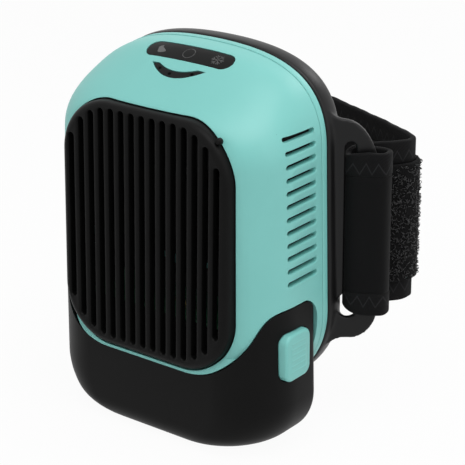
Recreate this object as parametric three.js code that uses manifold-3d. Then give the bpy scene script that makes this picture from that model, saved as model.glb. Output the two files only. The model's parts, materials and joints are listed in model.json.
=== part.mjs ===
// Wearable hot and cold therapy machine, in millimetres, +Z up.
// The grille faces -Y and the limb side faces +Y.
// The origin is the centre of the flat base under the battery.

import * as THREE from 'three';
import { mergeVertices } from 'three/addons/utils/BufferGeometryUtils.js';
import Module from 'manifold-3d';

const wasm = await Module();
wasm.setup();

// Driving dimensions: fits
const fit = 0.3; // gap between pieces that touch
const seamGap = 0.4; // gap round pieces that slide or part
const overrun = 2; // how far a cutter reaches past what it cuts

// Driving dimensions: battery pack, built round two standard cells
const cellDiameter = 18.3;
const cellLength = 65;
const cellGap = 0.5;
const cellStep = 5; // how far the upper cell lies behind the lower one
const cellEndRoom = 2.1; // past each end of the cells
const cellFrontRoom = 2.9; // lower cell to the front wall
const riserWall = 1.4;
const riserSideRoom = 4; // riser to the side wall of the bay
const baySideRoom = 10.2; // side wall of the bay to the outside of the body
const batteryWall = 2.4;
const batteryBack = 15;
const riserSetBack = 3.7; // back of the riser before the back of the battery
const batteryProud = 2; // how far the battery and the grille stand out in front
const grilleProud = 3;
const batteryCornerRound = 22;
const batteryBackRound = 3;
const batterySideFoot = 20; // radius from base to side
const batteryFrontFoot = 8; // radius from base to front
const batteryBackFoot = 6;
const seamHeight = 30; // top of the battery at the front
const seamFlatHalf = 18; // half of the seam's level stretch
const seamKneeSide = 9.7; // steepest place of the seam, from the side
const seamKneeShare = 0.492; // share of the ears' height there
const earRise = 14.2; // top of the ears above the riser
const earBackRound = 8.5;

const cellRadius = cellDiameter / 2;
const riserBack = batteryBack - riserSetBack;
const highCellY = riserBack - riserWall - fit - cellRadius;
const lowCell = { y: highCellY - cellStep, z: batteryWall + cellGap + cellRadius };
const highCell = {
  y: highCellY,
  z: lowCell.z + Math.sqrt((cellDiameter + cellGap) ** 2 - cellStep ** 2),
};
const riserFront = highCellY - cellRadius - fit - riserWall;
const batteryFront = lowCell.y - cellRadius - cellFrontRoom - batteryWall;
const riserHalf = cellLength / 2 + cellEndRoom + riserWall;
const coverTop = highCell.z + cellRadius + cellGap + riserWall;
const earHeight = coverTop + earRise;
const bayHalf = riserHalf + riserSideRoom;
const bayCeiling = coverTop + 2 * seamGap;
const bayWall = 2;

// Driving dimensions: boards and cooling, stacked above the battery bay
const boardThick = 1.2;
const capacitorTall = 7;
const fanRoom = 3.5; // capacitors to fan
const fanSize = 60;
const fanDepth = 10;
const bladeCount = 9;
const moduleSize = 40;
const moduleThick = 3.8;
const mainBoardHeight = bayCeiling + bayWall + fit;
const fanHeight = mainBoardHeight + boardThick + capacitorTall + fanRoom + fanSize / 2;

// Driving dimensions: body
const domeRoom = 22; // fan to the top of the dome
const bodyHeight = fanHeight + fanSize / 2 + domeRoom;
const baseWidth = 2 * (bayHalf + baySideRoom); // across the sides, carried down to the base plane
const sideTaper = 2.2;
const shoulderWidth = baseWidth - 2 * sideTaper; // where the shoulders start to round
const archTall = 32;
const shoulderHeight = bodyHeight - archTall;
const shellFront = batteryFront + batteryProud; // plane of the teal front face
const rearWall = 3.6; // battery to the seam between front and rear shell
const rearShellDeep = 3.4;
const sideSeam = batteryBack + rearWall;
const shellBack = sideSeam + rearShellDeep;
const shellWall = 2.4;
const rimBottom = 12; // lowest point of the shells behind the battery
const rimCorner = 35;
const sideRound = 20; // from the front face to the sides
const topRound = 4; // from the front face to the dome
const domeSlopeShare = 0.64; // fall of the dome for each millimetre towards the front
const domeAhead = 8.1; // from the side seam to where the dome falls
const domeStart = sideSeam - domeAhead;
const domeBlend = 4;
const shoulderRiseShare = 0.78;
const archShare = 0.65;
const shoulderDropShare = 0.1;
const seamKnee = {
  x: baseWidth / 2 - seamKneeSide,
  z: seamHeight + (earHeight - seamHeight) * seamKneeShare,
};

// Driving dimensions: front
const grilleMargin = 11.2; // grille to the side of the shoulders
const grilleFootGap = 1.6; // battery seam to grille
const grilleDrop = 16.9; // top of the body to grille
const grilleWidth = shoulderWidth - 2 * grilleMargin;
const grilleBottom = seamHeight + grilleFootGap;
const grilleTop = bodyHeight - grilleDrop;
const grilleCorner = 20;
const grilleFront = shellFront - grilleProud;
const grilleEdge = 3;
const grilleLean = THREE.MathUtils.degToRad(1.76);
const slotPitch = 4.6;
const slotWidth = 2.4;
const slotSideMargin = 2.8;
const slotFootMargin = 3.3;
const slotTopMargin = 1.9;
const slotFieldWidth = grilleWidth - 2 * slotSideMargin;
const slotCount = Math.floor((slotFieldWidth - slotWidth) / slotPitch) + 1;
const slotFieldBottom = grilleBottom + slotFootMargin;
const slotFieldTop = grilleTop - slotTopMargin;
const slotFieldCorner = 20;
const ventDrop = 22.9; // top of the body to the first vent
const ventAboveEar = 8.6; // ear to the last vent, at least
const ventPitch = 4.62;
const ventTop = bodyHeight - ventDrop;
const ventCount = Math.floor((ventTop - earHeight - ventAboveEar) / ventPitch) + 1;
const ventAhead = 11.4; // middle of the vents from the side seam
const ventCentre = sideSeam - ventAhead;
const ventLength = 16.3;
const ventWidth = 1.8;

// Driving dimensions: strap and wings
const strapWidth = 60;
const strapThick = 1.8;
const strapAboveRim = 33;
const strapBottom = rimBottom + strapAboveRim;
const strapTop = strapBottom + strapWidth;
const slotBelowStrap = 2;
const slotAboveStrap = 3;
const wingSlotBottom = strapBottom - slotBelowStrap;
const wingSlotTop = strapTop + slotAboveStrap;
const wingEnd = 8; // slot to the wing's upper and lower edge
const wingTop = wingSlotTop + wingEnd;
const wingBottom = wingSlotBottom - wingEnd;
const wingReach = 15;
const wingThick = 2.6;
const wingSweep = THREE.MathUtils.degToRad(35);
const barStart = 6.2; // wing slot to bar, along the wing

// Colours and finishes
function finish(color, roughness, metalness) {
  return new THREE.MeshStandardMaterial({ color, roughness, metalness });
}

const teal = finish(0x83c8c1, 0.45, 0);
const blackPlastic = finish(0x262828, 0.5, 0);
const rubber = finish(0x1c1e1f, 0.7, 0);
const glossDark = finish(0x2f3131, 0.12, 0);
const webbing = finish(0x1b1c1d, 0.9, 0);
const pile = finish(0x141516, 1, 0);
const aluminium = finish(0xb9bcbe, 0.35, 0.9);
const steel = finish(0xa9abad, 0.3, 1);
const brass = finish(0xc2a25a, 0.3, 1);
const ceramic = finish(0xe6e4dd, 0.6, 0);
const boardGreen = finish(0x1f5a3b, 0.6, 0);
const foam = finish(0x55585a, 0.95, 0);
const cellWrap = finish(0x3f6fa5, 0.4, 0);

const machine = new THREE.Group();

function addPiece(name, shape, material) {
  const geometry = shape.isBufferGeometry ? shape : geometryOf(shape);
  const mesh = new THREE.Mesh(geometry, material);
  mesh.name = name;
  machine.add(mesh);
  return mesh;
}

// Solids: a closed geometry becomes a solid that can be joined and cut
function solidOf(geometry) {
  const plain = geometry.clone();
  plain.deleteAttribute('normal');
  plain.deleteAttribute('uv');
  const merged = mergeVertices(plain);
  const source = merged.index.array;
  const kept = [];
  for (let i = 0; i < source.length; i += 3) {
    const [a, b, c] = [source[i], source[i + 1], source[i + 2]];
    if (a !== b && b !== c && c !== a) kept.push(a, b, c);
  }
  return new wasm.Manifold(new wasm.Mesh({
    numProp: 3,
    vertProperties: new Float32Array(merged.attributes.position.array),
    triVerts: new Uint32Array(kept),
  }));
}

function geometryOf(solid) {
  const mesh = solid.getMesh();
  const geometry = new THREE.BufferGeometry();
  geometry.setAttribute('position', new THREE.BufferAttribute(mesh.vertProperties, mesh.numProp));
  geometry.setIndex(new THREE.BufferAttribute(mesh.triVerts, 1));
  geometry.computeVertexNormals();
  return geometry;
}

function joined(...solids) {
  return solids.reduce((whole, solid) => whole.add(solid));
}

function cut(solid, ...cutters) {
  return cutters.reduce((rest, cutter) => rest.subtract(cutter), solid);
}

function mirrored(solid) {
  return solid.mirror([1, 0, 0]);
}

function block(x0, x1, y0, y1, z0, z1) {
  const box = new THREE.BoxGeometry(x1 - x0, y1 - y0, z1 - z0);
  return solidOf(box.translate((x0 + x1) / 2, (y0 + y1) / 2, (z0 + z1) / 2));
}

// Extrusions of a flat shape along one axis, from one plane to another
const alongY = new THREE.Matrix4().makeRotationX(Math.PI / 2);
const alongX = new THREE.Matrix4().makeBasis(
  new THREE.Vector3(0, 1, 0),
  new THREE.Vector3(0, 0, 1),
  new THREE.Vector3(1, 0, 0),
);

function extruded(shape, depth, segments, bevel = {}) {
  const options = { depth, bevelEnabled: false, curveSegments: segments, ...bevel };
  return new THREE.ExtrudeGeometry(shape, options);
}

function prismY(shape, y0, y1, segments = 4) {
  return solidOf(extruded(shape, y1 - y0, segments).applyMatrix4(alongY).translate(0, y1, 0));
}

function prismX(shape, x0, x1, segments = 4) {
  return solidOf(extruded(shape, x1 - x0, segments).applyMatrix4(alongX).translate(x0, 0, 0));
}

function prismZ(shape, z0, z1, segments = 4) {
  return solidOf(extruded(shape, z1 - z0, segments).translate(0, 0, z0));
}

function rodY(radius, x, z, y0, y1, sides = 12) {
  return solidOf(new THREE.CylinderGeometry(radius, radius, y1 - y0, sides).translate(x, (y0 + y1) / 2, z));
}

function rodX(radius, y, z, x0, x1, sides = 12) {
  const rod = new THREE.CylinderGeometry(radius, radius, x1 - x0, sides).rotateZ(Math.PI / 2);
  return solidOf(rod.translate((x0 + x1) / 2, y, z));
}

function rodZ(radius, x, y, z0, z1, sides = 12) {
  const rod = new THREE.CylinderGeometry(radius, radius, z1 - z0, sides).rotateX(Math.PI / 2);
  return solidOf(rod.translate(x, y, (z0 + z1) / 2));
}

function roundedRect(x0, x1, y0, y1, radius) {
  const shape = new THREE.Shape();
  shape.moveTo(x0 + radius, y0);
  shape.lineTo(x1 - radius, y0);
  shape.absarc(x1 - radius, y0 + radius, radius, -Math.PI / 2, 0);
  shape.lineTo(x1, y1 - radius);
  shape.absarc(x1 - radius, y1 - radius, radius, 0, Math.PI / 2);
  shape.lineTo(x0 + radius, y1);
  shape.absarc(x0 + radius, y1 - radius, radius, Math.PI / 2, Math.PI);
  shape.lineTo(x0, y0 + radius);
  shape.absarc(x0 + radius, y0 + radius, radius, Math.PI, 1.5 * Math.PI);
  return shape;
}

// A skin over a stack of rings that all hold the same number of points, closed at both ends
function lofted(rings) {
  const perRing = rings[0].length;
  const points = rings.flat();
  const faces = [];
  for (let i = 0; i + 1 < rings.length; i += 1) {
    for (let j = 0; j < perRing; j += 1) {
      const a = i * perRing + j;
      const b = i * perRing + (j + 1) % perRing;
      faces.push(a, b, a + perRing, b, b + perRing, a + perRing);
    }
  }
  for (const [first, flip] of [[0, true], [(rings.length - 1) * perRing, false]]) {
    const hub = new THREE.Vector3();
    for (let j = 0; j < perRing; j += 1) hub.add(points[first + j]);
    points.push(hub.divideScalar(perRing));
    for (let j = 0; j < perRing; j += 1) {
      const [a, b] = [first + j, first + (j + 1) % perRing];
      faces.push(...(flip ? [b, a] : [a, b]), points.length - 1);
    }
  }
  const geometry = new THREE.BufferGeometry().setFromPoints(points);
  geometry.setIndex(faces);
  const solid = solidOf(geometry);
  if (solid.volume() > 0) return solid;
  return solidOf(turnedInsideOut(geometry));
}

function turnedInsideOut(geometry) {
  const index = geometry.index.array;
  for (let i = 0; i < index.length; i += 3) {
    [index[i], index[i + 1]] = [index[i + 1], index[i]];
  }
  return geometry;
}

function arcPoints(x, y, radius, start, steps) {
  const points = [];
  for (let i = 0; i <= steps; i += 1) {
    const angle = start + (i / steps) * (Math.PI / 2);
    points.push(new THREE.Vector2(x + radius * Math.cos(angle), y + radius * Math.sin(angle)));
  }
  return points;
}

// Body outline, seen from the front: tapered sides, arched top, round lower corners
function halfWidthAt(z) {
  return baseWidth / 2 + ((shoulderWidth - baseWidth) / 2) * (z / shoulderHeight);
}

function bodyHalf(inset, topInset, drop) {
  const top = bodyHeight - drop - topInset;
  const cornerTop = rimBottom + rimCorner;
  const side = halfWidthAt(cornerTop) - inset;
  const corner = rimCorner - inset;
  const shoulder = halfWidthAt(shoulderHeight) - inset;
  const shoulderZ = shoulderHeight - drop * shoulderDropShare;
  const foot = arcPoints(side - corner, cornerTop, corner, -Math.PI / 2, 6);
  const arch = new THREE.CubicBezierCurve(
    new THREE.Vector2(shoulder, shoulderZ),
    new THREE.Vector2(shoulder, shoulderZ + (top - shoulderZ) * shoulderRiseShare),
    new THREE.Vector2(shoulder * archShare, top),
    new THREE.Vector2(0, top),
  );
  return [new THREE.Vector2(0, rimBottom + inset), ...foot, ...arch.getPoints(10)];
}

function bodyRing(inset, drop, y, topInset = inset) {
  const right = bodyHalf(inset, topInset, drop);
  const left = right.slice(1, -1).reverse().map((p) => new THREE.Vector2(-p.x, p.y));
  return [...right, ...left].map((p) => new THREE.Vector3(p.x, y, p.y));
}

function bodyShape(inset, drop = 0) {
  return new THREE.Shape(bodyRing(inset, drop, 0).map((p) => new THREE.Vector2(p.x, p.z)));
}

function domeDrop(y) {
  const ahead = domeStart - y;
  return (domeSlopeShare / 2) * (ahead + Math.hypot(ahead, domeBlend));
}

// Skin of the shells at a depth below their outer face, up to the plane y1
const domeStations = [-3, -1.5, -0.5, 0.5, 1.5].map((share) => domeStart + share * domeBlend);

const edgeStations = [0, 0.4, 1.4, 4, 8.2]; // distances behind the front face

function roundInset(radius, behind) {
  if (behind >= radius) return 0;
  return radius - Math.sqrt(radius ** 2 - (radius - behind) ** 2);
}

function bodySkin(depth, y1) {
  const front = shellFront + depth;
  const rings = [];
  for (const y of [...edgeStations.map((behind) => front + behind), ...domeStations, y1]) {
    const side = depth + roundInset(sideRound - depth, y - front);
    rings.push(bodyRing(side, domeDrop(y), y, depth + roundInset(topRound, y - front)));
  }
  return lofted(rings);
}

// Space that the battery pack takes up under the seam, grown by a gap
const kneeRun = 4;
const kneeSlopeShare = 1.45;

function batterySpace(gap) {
  const outer = baseWidth / 2 + overrun;
  const [level, top] = [seamHeight + gap, earHeight + gap];
  const knee = new THREE.Vector2(seamKnee.x - gap, seamKnee.z + gap);
  const lower = new THREE.Vector2(knee.x - kneeRun, knee.y - kneeRun * kneeSlopeShare);
  const upper = new THREE.Vector2(knee.x + kneeRun, knee.y + kneeRun * kneeSlopeShare);
  const half = new THREE.Path();
  half.moveTo(seamFlatHalf, level);
  half.bezierCurveTo((seamFlatHalf + knee.x) / 2, level, lower.x, lower.y, knee.x, knee.y);
  half.bezierCurveTo(upper.x, upper.y, upper.x, top, baseWidth / 2, top);
  const right = half.getPoints(6);
  const left = right.map((p) => new THREE.Vector2(-p.x, p.y)).reverse();
  const shape = new THREE.Shape([
    new THREE.Vector2(-outer, -overrun),
    new THREE.Vector2(outer, -overrun),
    new THREE.Vector2(outer, top),
    ...right.reverse(),
    ...left.reverse(),
    new THREE.Vector2(-outer, top),
  ]);
  const low = -overrun * 2;
  const back = batteryBack + gap;
  const profile = new THREE.Shape();
  profile.moveTo(batteryFront * 2, low);
  profile.lineTo(back, low);
  profile.lineTo(back, earHeight + gap - earBackRound);
  profile.absarc(back - earBackRound, earHeight + gap - earBackRound, earBackRound, 0, Math.PI / 2);
  profile.lineTo(batteryFront * 2, earHeight + gap);
  return prismY(shape, batteryFront * 2, batteryBack + gap, 8)
    .intersect(prismX(profile, -outer, outer, 3));
}

// Flat pieces let into the dome, seen square to its slope
const slopeAngle = Math.atan(domeSlopeShare);
const panelAhead = 11.1; // from the side seam
const panelCentreY = sideSeam - panelAhead;
const slopeOut = new THREE.Vector3(0, -Math.sin(slopeAngle), Math.cos(slopeAngle));
const slopeUp = new THREE.Vector3(0, Math.cos(slopeAngle), Math.sin(slopeAngle));
const panelCentre = new THREE.Vector3(0, panelCentreY, bodyHeight - domeDrop(panelCentreY));

function slopePrism(shape, inner, outer, segments = 4) {
  const basis = new THREE.Matrix4().makeBasis(new THREE.Vector3(1, 0, 0), slopeUp, slopeOut);
  basis.setPosition(panelCentre);
  const prism = extruded(shape, outer - inner, segments).translate(0, 0, inner);
  return solidOf(prism.applyMatrix4(basis));
}

const panelLength = 36.8;
const panelWidth = 7.3;
const panelThick = 1.2;
const panelSunk = 0.15;

function panelShape(gap) {
  const [halfLong, halfWide] = [panelLength / 2 + gap, panelWidth / 2 + gap];
  return roundedRect(-halfLong, halfLong, -halfWide, halfWide, halfWide);
}

const smileHalf = 10.9; // half of the chord between the tips
const smileInnerHalf = 8.6;
const smileDepth = 5;
const smileInnerDepth = 2.3;
const smileBelow = 6.9; // chord below the panel's centre, along the slope

function smileShape(gap) {
  const chord = gap - smileBelow;
  const tip = smileHalf + 2.5 * gap;
  const shape = new THREE.Shape();
  shape.moveTo(-tip, chord);
  shape.quadraticCurveTo(0, chord - 2 * (smileDepth + 2 * gap), tip, chord);
  shape.lineTo(smileInnerHalf - gap, chord);
  shape.quadraticCurveTo(0, chord - 2 * smileInnerDepth, gap - smileInnerHalf, chord);
  return shape;
}

const recessDepth = panelSunk + panelThick + seamGap;
const slopeReach = 12; // how far a dome cutter reaches out of the surface

function domePiece(shape, top, bottom) {
  const layer = cut(bodySkin(top, sideSeam), bodySkin(bottom, sideSeam + overrun));
  return slopePrism(shape, -slopeReach, slopeReach).intersect(layer);
}

// Rear screws: places in front view, and the posts of the front shell that take them
const postRadius = 3;
const screwShank = 1.2;
const screwHead = 2.3;
const screwHeadTall = 1.4;
const screwSides = 8;
const screwHole = (screwShank + fit) / Math.cos(Math.PI / screwSides);
const upperPostSide = 10; // from the side of the shoulders
const upperPostDrop = 17;
const lowerPostTurn = THREE.MathUtils.degToRad(22); // round the lower corner, from straight down
const lowerPostReach = rimCorner - shellWall - postRadius + fit;
const upperPost = { x: shoulderWidth / 2 - upperPostSide, z: bodyHeight - upperPostDrop };
const lowerPost = {
  x: halfWidthAt(rimBottom + rimCorner) - rimCorner + lowerPostReach * Math.sin(lowerPostTurn),
  z: rimBottom + rimCorner - lowerPostReach * Math.cos(lowerPostTurn),
};
const backPosts = [1, -1].flatMap((side) => [upperPost, lowerPost]
  .map((post) => ({ x: post.x * side, z: post.z, upper: post === upperPost })));
const postEnd = sideSeam - fit;
const upperPostStart = -11;

// Control board: hangs under the dome on two posts
const boardBelow = 6.4; // top of the board under the dome's face
const boardPostX = 17;
const boardLong = 40;
const boardWide = 9;

function frontShell() {
  const hollow = bodySkin(shellWall, sideSeam + overrun);
  const vents = [];
  for (let i = 0; i < ventCount; i += 1) {
    const z = ventTop - i * ventPitch;
    const [y0, y1] = [ventCentre - ventLength / 2, ventCentre + ventLength / 2];
    const slot = roundedRect(y0, y1, z - ventWidth / 2, z + ventWidth / 2, ventWidth / 2);
    vents.push(prismX(slot, -baseWidth, baseWidth, 1));
  }
  const posts = [];
  for (const post of backPosts) {
    const start = post.upper ? upperPostStart : batteryBack + seamGap;
    posts.push(rodY(postRadius, post.x, post.z, start, postEnd, 12));
  }
  for (const x of [-boardPostX, boardPostX]) {
    const stud = new THREE.CylinderGeometry(screwHead, screwHead, boardBelow - fit, 12).rotateX(Math.PI / 2);
    stud.translate(x, 0, -(boardBelow - fit) / 2);
    const basis = new THREE.Matrix4().makeBasis(new THREE.Vector3(1, 0, 0), slopeUp, slopeOut);
    posts.push(solidOf(stud.applyMatrix4(basis.setPosition(panelCentre))));
  }
  const outer = bodySkin(0, sideSeam);
  let shell = cut(outer, hollow);
  shell = joined(shell, ...posts.map((post) => post.intersect(outer)));
  const opening = roundedRect(
    -grilleWidth / 2 - seamGap, grilleWidth / 2 + seamGap,
    grilleBottom - seamGap, grilleTop + seamGap,
    grilleCorner + seamGap,
  );
  const screwHoles = backPosts.map((post) => rodY(
    screwHole, post.x, post.z, postEnd - screwLength, postEnd + overrun, screwSides,
  ));
  const recessFloor = bodySkin(recessDepth, sideSeam + overrun);
  return cut(
    shell,
    batterySpace(seamGap),
    prismY(opening, grilleFront, 0, 4),
    cut(slopePrism(panelShape(fit), -slopeReach, slopeReach), recessFloor),
    cut(slopePrism(smileShape(fit), -slopeReach, slopeReach), recessFloor),
    ...vents,
    ...screwHoles,
  );
}

// Rear shell: a dish with a lip inside the front shell and a window for the module
const lipWall = 1.6;
const lipReach = 3;
const backWall = 2;
const moduleHeight = ventTop - ((ventCount - 1) / 2) * ventPitch; // centre of the vent field
const screwLength = 7;
const shortScrew = 5; // reaches into the short posts behind the battery

function rearShell() {
  const start = sideSeam + fit;
  const dish = cut(
    prismY(bodyShape(0), start, shellBack),
    prismY(bodyShape(shellWall), start - overrun, shellBack - backWall),
  );
  const lipStart = sideSeam - lipReach;
  const lipDrop = domeDrop(lipStart);
  const lip = cut(
    prismY(bodyShape(shellWall + fit, lipDrop), lipStart, shellBack - backWall + fit),
    prismY(bodyShape(shellWall + fit + lipWall, lipDrop), lipStart - overrun, shellBack - backWall),
  );
  const bosses = backPosts.map((post) => rodY(screwHead + lipWall + fit, post.x, post.z, start, shellBack)
    .intersect(prismY(bodyShape(0), start, shellBack)));
  const half = moduleSize / 2 + fit;
  const window = block(-half, half, lipStart, shellBack + overrun, moduleHeight - half, moduleHeight + half);
  const holes = [];
  for (const post of backPosts) {
    holes.push(rodY(postRadius + fit, post.x, post.z, lipStart - overrun, start));
    holes.push(rodY(screwHole, post.x, post.z, start - overrun, shellBack + overrun, screwSides));
    holes.push(
      rodY(screwHead + seamGap, post.x, post.z, shellBack - screwHeadTall - 2 * fit, shellBack + overrun),
    );
  }
  return cut(joined(dish, lip, ...bosses), window, ...holes);
}

function screw(length) {
  const profile = [
    [0, 0],
    [screwHead * 0.8, 0],
    [screwHead, screwHeadTall * 0.6],
    [screwHead, screwHeadTall],
    [screwShank, screwHeadTall],
    [screwShank, length],
    [0, length],
  ];
  return new THREE.LatheGeometry(profile.map(([r, z]) => new THREE.Vector2(r, z)), screwSides);
}

// Front grille: a hollow tray with upright slots, closed at the front
const grillePlate = 3;
const grilleClear = 0.8; // bay frame to the grille's lower edge
const leanShift = ((grilleTop - grilleBottom) / 2) * Math.sin(grilleLean);
const grilleBack = riserFront + leanShift - grilleClear;
const fanFront = grilleBack + leanShift + fit + screwHeadTall + fit;
const finFront = fanFront + fanDepth + fit;
const grilleWall = 2.4;
const clipSize = 2;
const clipInset = shoulderWidth / 2 - shellWall - grilleWidth / 2 - clipSize - fit;
const clipRound = sideRound - shellWall;
const clipBehind = clipRound - Math.sqrt(clipRound ** 2 - (clipRound - clipInset) ** 2);
const clipStart = shellFront + shellWall + clipBehind; // front of the hooks, behind the shell's curved wall
const clipTall = 8;
const slotChamfer = 0.5;
const clipHeightShares = [0.4, 0.74]; // shares of the grille's height
const leanPivot = new THREE.Vector3(0, shellFront + shellWall / 2, (grilleBottom + grilleTop) / 2);

function slotSpan(x) {
  const straight = slotFieldWidth / 2 - slotFieldCorner;
  const past = Math.max(0, Math.abs(x) - straight);
  const rise = slotFieldCorner - Math.sqrt(slotFieldCorner ** 2 - past ** 2);
  return [slotFieldBottom + rise, slotFieldTop - rise];
}

function grilleSlot(x) {
  const [bottom, top] = slotSpan(x);
  const half = slotWidth / 2;
  const slot = roundedRect(x - half, x + half, bottom, top, half - slotChamfer / 2);
  const bevel = {
    bevelEnabled: true,
    bevelThickness: slotChamfer,
    bevelSize: slotChamfer,
    bevelOffset: 0,
    bevelSegments: 1,
  };
  const deep = grillePlate + overrun;
  const cutter = extruded(slot, deep, 1, bevel).applyMatrix4(alongY);
  return solidOf(cutter.translate(0, grilleFront + deep, 0));
}

function frontGrille() {
  const halfWide = grilleWidth / 2;
  const outline = roundedRect(-halfWide, halfWide, grilleBottom, grilleTop, grilleCorner);
  const bevel = {
    bevelEnabled: true,
    bevelThickness: grilleEdge,
    bevelSize: grilleEdge,
    bevelOffset: -grilleEdge,
    bevelSegments: 3,
  };
  const deep = grilleBack - grilleFront - grilleEdge;
  const tray = solidOf(extruded(outline, deep, 4, bevel).applyMatrix4(alongY).translate(0, grilleBack, 0))
    .intersect(block(-baseWidth, baseWidth, grilleFront, grilleBack, 0, bodyHeight));
  const inside = roundedRect(
    grilleWall - halfWide, halfWide - grilleWall,
    grilleBottom + grilleWall, grilleTop - grilleWall,
    grilleCorner - grilleWall,
  );
  const slots = [];
  for (let i = 0; i < slotCount; i += 1) slots.push(grilleSlot((i - (slotCount - 1) / 2) * slotPitch));
  const clips = [];
  for (const share of clipHeightShares) {
    const z = grilleBottom + (grilleTop - grilleBottom) * share;
    const y = clipStart + (leanPivot.z - z) * Math.sin(grilleLean);
    const [z0, z1] = [z - clipTall / 2, z + clipTall / 2];
    clips.push(block(halfWide - grilleWall, halfWide, grilleBack - clipSize, y + clipSize, z0, z1));
    clips.push(block(halfWide - grilleWall, halfWide + clipSize, y, y + clipSize, z0, z1));
  }
  return cut(
    joined(tray, ...clips, ...clips.map(mirrored)),
    prismY(inside, grilleFront + grillePlate, 0, 3),
    ...slots,
  );
}

// Wing frame: a soft back cover with a slotted wing on each side
const frameDeep = 9;
const frameBack = shellBack + frameDeep;
const frameWall = 3;
const frameFloor = 3;
const frameSwell = 0.4; // how far the rim stands outside the shells
const plateSideMargin = 14.2;
const plateTopMargin = 12;
const plateFootMargin = 22;
const plateCorner = 14;
const plateWidth = baseWidth - 2 * plateSideMargin;
const plateTall = bodyHeight - plateTopMargin - rimBottom - plateFootMargin;
const plateHeight = rimBottom + plateFootMargin + plateTall / 2;
const wingRootInset = 1.7;
const wingRootBehind = 5.5;
const wingRoot = { x: baseWidth / 2 - wingRootInset, y: shellBack + wingRootBehind };
const rootFlare = 6;
const rootLength = 6;
const wingStart = 3; // where the wing's edges run level
const wingLowerCorner = { wide: 10, tall: 14 };
const wingUpperCorner = { wide: 13, tall: 24 };
const wingEdge = 0.8;
const slotInner = 2.2;

function plateShape(grow) {
  const [wide, tall] = [plateWidth / 2 + grow, plateTall / 2 + grow];
  return roundedRect(-wide, wide, plateHeight - tall, plateHeight + tall, plateCorner + grow);
}

function wing() {
  const [low, high] = [wingLowerCorner, wingUpperCorner];
  const shape = new THREE.Shape();
  shape.moveTo(-rootLength, wingBottom - rootFlare);
  shape.quadraticCurveTo(-rootLength / 4, wingBottom, wingStart, wingBottom);
  shape.lineTo(wingReach - low.wide, wingBottom);
  shape.absellipse(wingReach - low.wide, wingBottom + low.tall, low.wide, low.tall, -Math.PI / 2, 0);
  shape.lineTo(wingReach, wingTop - high.tall);
  shape.absellipse(wingReach - high.wide, wingTop - high.tall, high.wide, high.tall, 0, Math.PI / 2);
  shape.quadraticCurveTo(-rootLength / 4, wingTop, -rootLength, wingTop + rootFlare);
  const slotRound = (barStart - slotInner) / 2;
  shape.holes.push(roundedRect(slotInner, barStart, wingSlotBottom, wingSlotTop, slotRound));
  const bevel = {
    bevelEnabled: true,
    bevelThickness: wingEdge,
    bevelSize: wingEdge,
    bevelOffset: -wingEdge,
    bevelSegments: 2,
  };
  const plate = extruded(shape, wingThick - 2 * wingEdge, 4, bevel);
  plate.translate(0, 0, wingEdge - wingThick / 2).applyMatrix4(alongY);
  return solidOf(plate.rotateZ(wingSweep).translate(wingRoot.x, wingRoot.y, 0));
}

function wingFrame() {
  const start = shellBack + fit;
  const depth = frameBack - start;
  const stationShares = [0, 0.15, 0.4, 0.65, 0.85, 0.96, 1]; // shares of the rim's depth
  const swellShares = [0, 0.8, 1, 0.4, -0.8, -2.2, -3.4]; // shares of the rim's swell
  const rings = stationShares.map((share, i) => bodyRing(
    -frameSwell * swellShares[i], 0, start + depth * share,
  ));
  const rim = lofted(rings);
  const hollow = prismY(bodyShape(frameWall), start - overrun, frameBack - frameFloor);
  const window = prismY(plateShape(fit), start - overrun, frameBack + overrun);
  const wings = joined(wing(), mirrored(wing()));
  return cut(joined(rim, cut(wings, hollow)), hollow, window);
}

// Therapy plate: flat to the limb, with a raised block that reaches the module
const plateProud = 1;
const plateFace = frameBack + plateProud;
const plateThick = 4.4;
const sinkBack = shellBack - backWall - fit;
const moduleFront = sinkBack + fit;
const moduleBack = moduleFront + moduleThick;

function therapyPlate() {
  const half = moduleSize / 2;
  const face = prismY(plateShape(0), plateFace - plateThick, plateFace);
  const raised = block(
    -half, half, moduleBack + fit, plateFace - plateThick / 2,
    moduleHeight - half, moduleHeight + half,
  );
  return joined(face, raised);
}

function insulationPad() {
  const start = shellBack + fit;
  const half = moduleSize / 2 + seamGap;
  return cut(
    prismY(bodyShape(frameWall + fit), start, plateFace - plateThick - fit),
    block(-half, half, start - overrun, plateFace, moduleHeight - half, moduleHeight + half),
  );
}

// Heat sink: a base with level fins, one between each two vents
const finThick = 1;
const sinkBase = 4;
const sinkSideRoom = 14;
const sinkWidth = shoulderWidth - 2 * sinkSideRoom;
const fanScrewInset = 5; // fan screw from the fan's edge
const fanScrewPost = 2.8;
const fanPlaces = [1, -1].flatMap((sx) => [1, -1].map((sz) => ({
  x: sx * (fanSize / 2 - fanScrewInset),
  z: fanHeight + sz * (fanSize / 2 - fanScrewInset),
})));
const fanScrewGrip = 3.6;
const fanScrewLength = fanDepth + screwHeadTall + fanScrewGrip;

function heatSink() {
  const bottom = ventTop - (ventCount - 1 / 2) * ventPitch;
  const fins = [];
  for (let i = 0; i <= ventCount; i += 1) {
    const z = bottom + i * ventPitch;
    fins.push(block(
      -sinkWidth / 2, sinkWidth / 2,
      finFront, sinkBack - sinkBase / 2,
      z - finThick / 2, z + finThick / 2,
    ));
  }
  const top = bottom + ventCount * ventPitch;
  const postReach = fanSize / 2 - fanScrewInset + fanScrewPost;
  const base = block(
    -sinkWidth / 2, sinkWidth / 2, sinkBack - sinkBase, sinkBack,
    Math.min(bottom - finThick, fanHeight - postReach),
    Math.max(top + finThick, fanHeight + postReach),
  );
  const posts = fanPlaces.map(({ x, z }) => rodY(fanScrewPost, x, z, finFront, sinkBack - sinkBase / 2, 12));
  const holes = fanPlaces.map(({ x, z }) => rodY(
    screwHole, x, z, finFront - overrun, fanFront + fanScrewLength, screwSides,
  ));
  return cut(joined(base, ...fins, ...posts), ...holes);
}

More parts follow.
